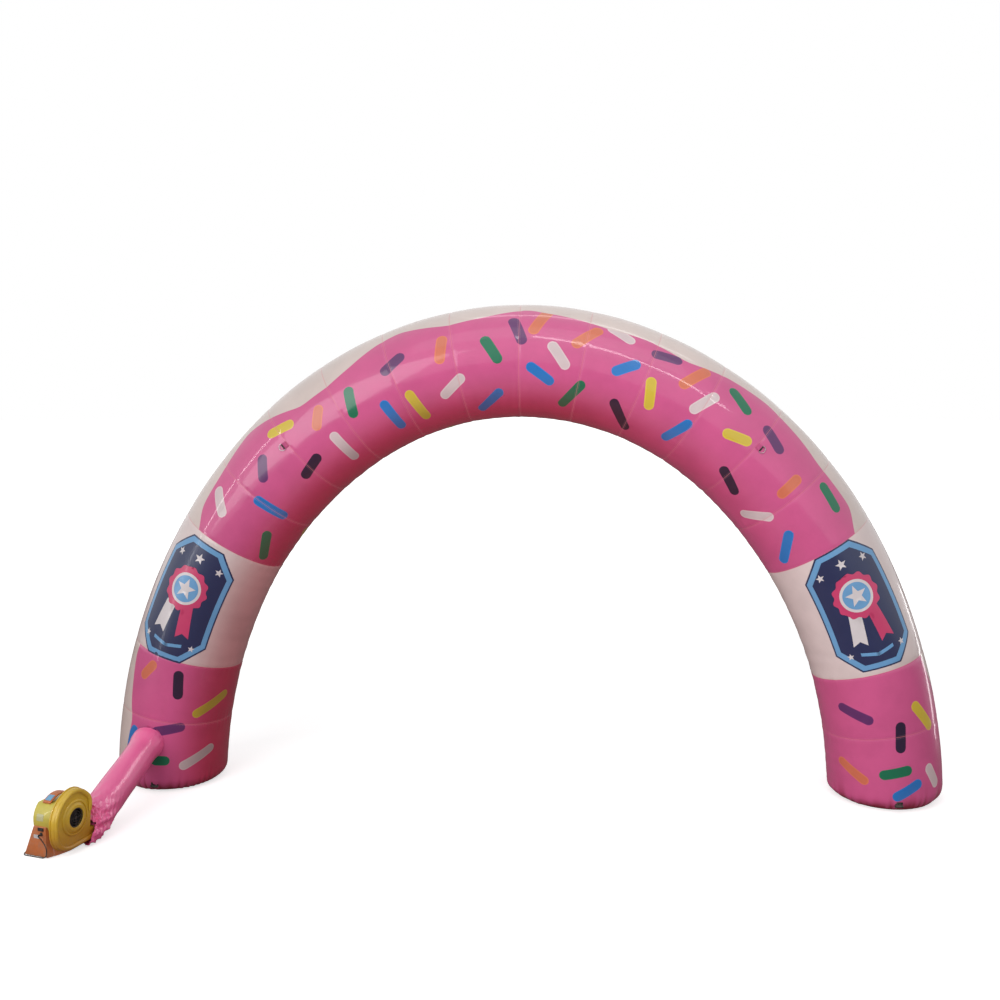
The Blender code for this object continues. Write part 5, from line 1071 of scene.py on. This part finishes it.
def sleeveSpine():
    # Stations from the outlet to the foot: place, heading, half width, half height, squareness
    mouth = blowerPlace @ Vector((sleeve["mouthSide"], scroll["outletEnd"], 0.0))
    forward = (blowerPlace.to_3x3() @ Vector((0, 1, 0))).normalized()
    side = (blowerPlace.to_3x3() @ Vector((1, 0, 0))).normalized()
    entry = Vector(skinPlaces(archLength - sleeve["entryMark"], math.radians(sleeve["entryTurn"]), 0.0))
    swell = mouth + forward * sleeve["swellLength"] - side * sleeve["swellShift"]
    swell.z = sleeve["swellHeight"]
    run = (entry - swell).normalized()
    stations = []
    for past, shift, height, wide, high, square in cuff:
        place = mouth + forward * past - side * shift
        place.z = height
        heading = forward.lerp(run, max(0.0, (wide - 0.1) / 0.05)).normalized()
        stations.append((place, heading, wide, high, square))
    for share in (0.0, 0.2, 0.4, 0.6, 0.8, 1.0):
        radius = sleeve["radius"] + (sleeve["endRadius"] - sleeve["radius"]) * share
        stations.append((swell.lerp(entry, share), run, radius, radius, 2.0))
    stations.append((entry + run * sleeve["depth"], run, sleeve["endRadius"], sleeve["endRadius"], 2.0))
    return stations


sleeveStations = sleeveSpine()
sleeveMarks = [0.0]
for first, second in zip(sleeveStations, sleeveStations[1:]):
    sleeveMarks.append(sleeveMarks[-1] + (second[0] - first[0]).length + abs(second[2] - first[2]))
sleeveFoldBack = [max(0.0, -station[0]) if index > 1 else 0.0 for index, station in enumerate(cuff)]
sleeveFoldBack += [0.0] * (len(sleeveStations) - len(cuff))
sleeveLength = sleeveMarks[-1]
cuffEnd = sleeveMarks[len(cuff)]
sleeveWaves = makeWaves(8, 4, 12)
sleeveFine = makeWaves(8, 10, 22)
sleeveCross = makeWaves(6, 2, 6)


def sleevePlaces(column, around):
    # Half of the columns go into the gathered cuff and the folds just past it
    metres = np.interp(column, [0, 0.55, 1], [0, cuffEnd + sleeve["foldReach"], sleeveLength])
    stack = np.array([[*place, *heading, *shape] for place, heading, *shape in sleeveStations])
    data = np.stack([np.interp(metres, sleeveMarks, part) for part in stack.T], 1)
    wide, high, square = data[:, 6:].T
    heading = data[:, 3:6] / np.linalg.norm(data[:, 3:6], axis=1, keepdims=True)
    across = np.cross(heading, [0, 0, 1.0])
    across /= np.linalg.norm(across, axis=1, keepdims=True)
    upward = np.cross(across, heading)
    x, y = [np.sign(part) * np.abs(part) ** (2 / square) for part in (np.cos(around), np.sin(around))]
    # Folds are largest in the cuff, and small where it lies on the outlet
    past = np.clip(metres - cuffEnd, 0, None)
    bloused = np.clip((metres - sleeveMarks[2]) / 0.03, 0, 1)
    gathered = np.exp(-past / sleeve["foldReach"]) * bloused
    outside = np.clip((wide - 0.066) / 0.03, 0.1, 1)
    crumple = gathered * outside * sleeve["foldHeight"] * sumWaves(sleeveWaves, around + 3.0 * metres)
    crumple += gathered * outside * sleeve["fineHeight"] * sumWaves(sleeveFine, around - 4.0 * metres)
    ridge = (sumWaves(sleeveCross, around + 9.0 * metres) ** 2 + 0.01) ** 0.4
    crumple += np.exp(-past / sleeve["ridgeReach"]) * outside * bloused * sleeve["ridgeHeight"] * (0.5 - ridge)
    crumple += sleeve["sway"] * np.sin(9 * metres + 3 * around)
    # The end flares over its collar at the foot
    toFoot = np.clip(sleeveLength - sleeve["depth"] - metres, 0, None)
    flare = sleeve["flare"] + sleeve["flareFold"] * sumWaves(sleeveFine, around)
    crumple += np.exp(-(toFoot / sleeve["flareReach"]) ** 2) * flare
    slide = gathered * sleeve["foldHeight"] * sumWaves(sleeveCross, around + 11 * metres) \
        * np.sin(45 * metres + 2 * around)
    slide = slide * np.clip(past / 0.05, 0.25, 1)
    # Less cloth folds back at the top, where the housing is near
    foldBack = np.interp(metres, sleeveMarks, sleeveFoldBack)
    slide += foldBack * np.clip(np.clip(y - 0.1, 0, 1) * 0.75 + np.clip(-x, 0, 1) * 0.5, 0, 0.5)
    slide -= foldBack * 0.25 * np.clip(-y, 0, 1) * np.clip(x + 0.2, 0, 1)
    places = data[:, :3] + across * ((wide + crumple) * x)[:, None] \
        + upward * ((high + crumple) * y)[:, None] + heading * slide[:, None]
    places[:, 2] = np.maximum(places[:, 2], sleeve["groundGap"])
    return places, np.stack([metres, around * sleeve["clothRadius"]], 1)


# Sleeve and collar darken to crimson on their undersides: painted shade
sleeveMaterial, collarMaterial = [
    clothMaterial(name, tone, clothPlace, (0.95, 1.04), (0.36, 0.45, 0.16), (0.4, 0.0015), srgb(196, 34, 78),
                  (0.2, 0.1, srgb(130, 60, 80)))
    for name, tone in (("sleeveCloth", srgb(240, 104, 160)), ("collarCloth", srgb(204, 72, 128)))]
sleeveMesh = wrapGrid("sleeveCloth", sleeveMaterial, sleeve["columns"], sleeve["rows"], sleevePlaces)
sleevePiece = makePiece("sleeveCloth", sleeveMesh, archBody, ["inflation_sleeve"])
smoothCopy("sleeveCollar", "sleeve_collar", collarMaterial, archBody, 60)
print("filling sleeve ready")


# Mains cord: from its gland down the stand, along the ground and into a coil behind the stand
cord = {"radius": 0.004, "coil": (-0.43, 0.16), "inner": 0.038, "step": 0.0098, "rise": 0.0092, "turns": 2.0,
        "tail": 0.03, "length": 2.143, "wall": -0.1846, "groundGap": 0.00001, "routeSteps": 5, "coilSteps": 36}
cordFloor = cord["radius"] + cord["groundGap"]


def cordRoute():
    wall, floor = cord["wall"], cordFloor
    near = wall - cord["radius"]
    beside = near + 0.0146
    coilY = cord["coil"][1]
    outer = cord["coil"][0] - (cord["inner"] + cord["step"] * cord["turns"])
    return [(-0.168, wall, 0.178), (-0.168, wall - 0.011, 0.178), (-0.16, near - 0.014, 0.171),
            (-0.135, near - 0.01, 0.145), (-0.112, near - 0.006, 0.105), (-0.109, near, 0.07),
            (-0.122, near + 0.007, 0.03), (-0.15, near + 0.012, 0.009), (-0.19, beside, floor),
            (-0.26, beside, floor), (-0.32, beside, floor), (-0.349, -0.147, floor), (-0.362, -0.09, floor),
            (-0.375, -0.02, floor), (-0.42, 0.04, floor), (outer, coilY - 0.06, floor),
            (outer, coilY - 0.03, floor), (outer, coilY - 0.0003, floor)]


def smoothRoute(route, steps):
    places = [Vector(place) for place in route]
    points = []
    for index in range(len(places) - 1):
        before, start = places[max(index - 1, 0)], places[index]
        end, after = places[index + 1], places[min(index + 2, len(places) - 1)]
        for step in range(steps):
            share = step / steps
            points.append(0.5 * (2 * start + (end - before) * share
                                 + (2 * before - 5 * start + 4 * end - after) * share ** 2
                                 + (3 * start - before - 3 * end + after) * share ** 3))
    points.append(places[-1])
    return points


def coilRoute():
    # In from the outer turn to the inner one, up on to it and out again
    coilX, coilY = cord["coil"]
    turns = cord["turns"]
    allTurns = turns * 2 + 0.5
    steps = round(cord["coilSteps"] * allTurns)
    points = []
    for step in range(steps + 1):
        turn = allTurns * step / steps
        radius, height = cord["inner"] + cord["step"] * (turns - turn), cordFloor
        if turn >= turns:
            share = min((turn - turns) / 0.5, 1)
            radius = cord["inner"] + cord["step"] * max(turn - turns - 0.5, 0)
            height = cordFloor + cord["rise"] * (3 * share ** 2 - 2 * share ** 3)
        angle = math.pi - math.tau * turn
        points.append(Vector((coilX + radius * math.cos(angle), coilY + radius * math.sin(angle), height)))
    last = (points[-1] - points[-2]).normalized()
    return points + [points[-1] + last * cord["tail"]]


def makeCord(name, points):
    curve = bpy.data.curves.new(name, "CURVE")
    curve.dimensions = "3D"
    curve.bevel_depth = cord["radius"]
    curve.bevel_resolution = 4
    curve.use_fill_caps = True
    line = curve.splines.new("POLY")
    line.points.add(len(points) - 1)
    for point, place in zip(line.points, points):
        point.co = (*place, 1)
    curve.materials.append(blackRubber)
    return makePiece(name, curve, archBody, ["power_cord", "cord_coil"])


cordPoints = [blowerPlace @ point for point in smoothRoute(cordRoute(), cord["routeSteps"])[:-1] + coilRoute()]
cordPiece = makeCord("mainsCord", cordPoints)
plugPiece = smoothCopy("mainsPlug", "power_plug", blackRubber, archBody)

# Cord boot: a ribbed taper that eases the cord out of its gland
cordBoot = {"length": 0.034, "radius": 0.0088, "taper": 0.0042, "rib": 0.0007, "ribLength": 0.0026,
            "sunk": 0.012, "routeSteps": 24}


def makeCordBoot():
    heading = (cordPoints[1] - cordPoints[0]).normalized()
    fine = [blowerPlace @ point for point in smoothRoute(cordRoute(), cordBoot["routeSteps"])]
    run = [fine[0] - heading * cordBoot["sunk"], fine[0] - heading * cordBoot["sunk"] / 2] + fine
    rings = []
    gone = 0.0
    previous = run[0]
    for place, following in zip(run, run[1:]):
        gone += (place - previous).length
        previous = place
        if gone > cordBoot["length"]:
            break
        ahead = (following - place).normalized()
        across = ahead.cross(Vector((0.3, 0.2, 1.0))).normalized()
        radius = cordBoot["radius"] - cordBoot["taper"] * gone / cordBoot["length"]
        if int(gone / cordBoot["ribLength"]) % 2:
            radius += cordBoot["rib"]
        rings.append(ringOf(place, across, across.cross(ahead), radius))
    bm = bmesh.new()
    bridgeRings(bm, rings)
    meshPiece("cordBoot", bm, blackRubber, archBody, 30)


makeCordBoot()
print("mains cord ready")


# Pale floor and studio light; the floor glows more towards the horizon, and only to the camera
stage = {"radius": 90, "unlit": srgb(158, 134, 132), "seen": srgb(236, 236, 236), "glowReach": (4.0, 12.0),
         "glow": (0.62, 1.0), "worldLight": 0.34}


def makeStage():
    material, tree, shader = newMaterial("paleFloor")
    tree.nodes.remove(shader)
    diffuse = tree.nodes.new("ShaderNodeBsdfDiffuse")
    glow = tree.nodes.new("ShaderNodeEmission")
    both = tree.nodes.new("ShaderNodeAddShader")
    seen = tree.nodes.new("ShaderNodeLightPath").outputs["Is Camera Ray"]
    wire(tree, addMix(tree, seen, stage["unlit"], stage["seen"]), diffuse.inputs["Color"])
    across, along, _ = addSplit(tree, objectPlace(tree))
    reach = addMath(tree, "POWER", addMath(tree, "ADD", multiply(tree, across, across),
                                           multiply(tree, along, along)), 0.5)
    level = addRange(tree, reach, *stage["glowReach"], *stage["glow"])
    wire(tree, multiply(tree, seen, level), glow.inputs["Strength"])
    wire(tree, diffuse.outputs[0], both.inputs[0])
    wire(tree, glow.outputs[0], both.inputs[1])
    wire(tree, both.outputs[0], tree.nodes["Material Output"].inputs["Surface"])
    bm = bmesh.new()
    bmesh.ops.create_circle(bm, cap_ends=True, segments=64, radius=stage["radius"])
    floor = bpy.data.objects.new("studioFloor", meshFrom(bm, "studioFloor", material))
    scene.collection.objects.link(floor)


def makeWorld():
    world = bpy.data.worlds.new("studioWorld")
    scene.world = world
    world.use_nodes = True
    tree = world.node_tree
    path = tree.nodes.new("ShaderNodeLightPath").outputs
    # The camera, shiny surfaces and clear ones see white; the light on the object stays plain
    seen = addMath(tree, "MAXIMUM", path["Is Camera Ray"], path["Is Glossy Ray"])
    seen = addMath(tree, "MAXIMUM", seen, path["Is Transmission Ray"])
    background = tree.nodes["Background"]
    wire(tree, addRange(tree, seen, 0.0, 1.0, stage["worldLight"], 1.0, False), background.inputs["Strength"])
    background.inputs["Color"].default_value = (1, 1, 1, 1)


makeStage()
makeWorld()

# Lamps: place, point aimed at, direction of the long side, length, width, power
lamps = {"keyPanel": ((-6.5, -9.5, 6.5), (0.8, 0.7, 1.8), (1, -0.7, 0), 8.0, 7.0, 525),
         "topPanel": ((0.5, -3.0, 9.5), (0, 0.7, 2.0), (1, 0, 0), 9.0, 3.0, 75),
         "sidePanel": ((5.5, -9.0, 3.0), (1.5, 0.7, 1.6), (1, 0.4, 0), 6.0, 5.0, 250),
         "sleevePanel": ((2.2, 3.6, 6.6), (-3.0, -0.5, 0.3), (1, 0, 0), 3.0, 3.0, 170),
         "walkwayPanel": ((-0.9, -1.8, 1.0), (2.9, 0.5, 1.6), (0.5, -1, 0), 2.5, 2.0, 42),
         "nearStrip": ((2.0, -3.0, 6.5), (0.8, 0.3, 3.5), (2.9, -1.45, 0), 4.4, 0.26, 42),
         "highStrip": ((1.1, 1.1, 6.5), (1.0, 0.5, 3.9), (1, -0.03, 0), 4.2, 0.22, 13),
         "edgeStrip": ((5.3, 2.0, 0.95), (3.2, 0.5, 1.1), (1.45, 0, -1.5), 2.1, 0.3, 9),
         "legStrip": ((-7.6, -3.2, 3.4), (-3.0, 0.7, 2.4), (0, 0, 1), 6.0, 0.2, 60)}
for name, (place, aim, along, length, width, power) in lamps.items():
    light = bpy.data.lights.new(name, "AREA")
    light.shape = "RECTANGLE"
    light.size = length
    light.size_y = width
    light.energy = power
    lamp = bpy.data.objects.new(name, light)
    lamp.location = place
    back = (Vector(place) - Vector(aim)).normalized()
    run = (Vector(along) - back * back.dot(Vector(along))).normalized()
    lamp.rotation_euler = Matrix((run, back.cross(run), back)).transposed().to_euler()
    lamp.visible_camera = False
    lamp.visible_glossy = name not in ("sidePanel", "walkwayPanel")
    if name == "sleevePanel":
        # A highlight on the sleeve alone
        lamp.visible_diffuse = False
        sleeveOnly = bpy.data.collections.new("sleeveOnly")
        sleeveOnly.objects.link(sleevePiece)
        lamp.light_linking.receiver_collection = sleeveOnly
    scene.collection.objects.link(lamp)
scene.view_settings.view_transform = "Standard"
print("stage and light ready")
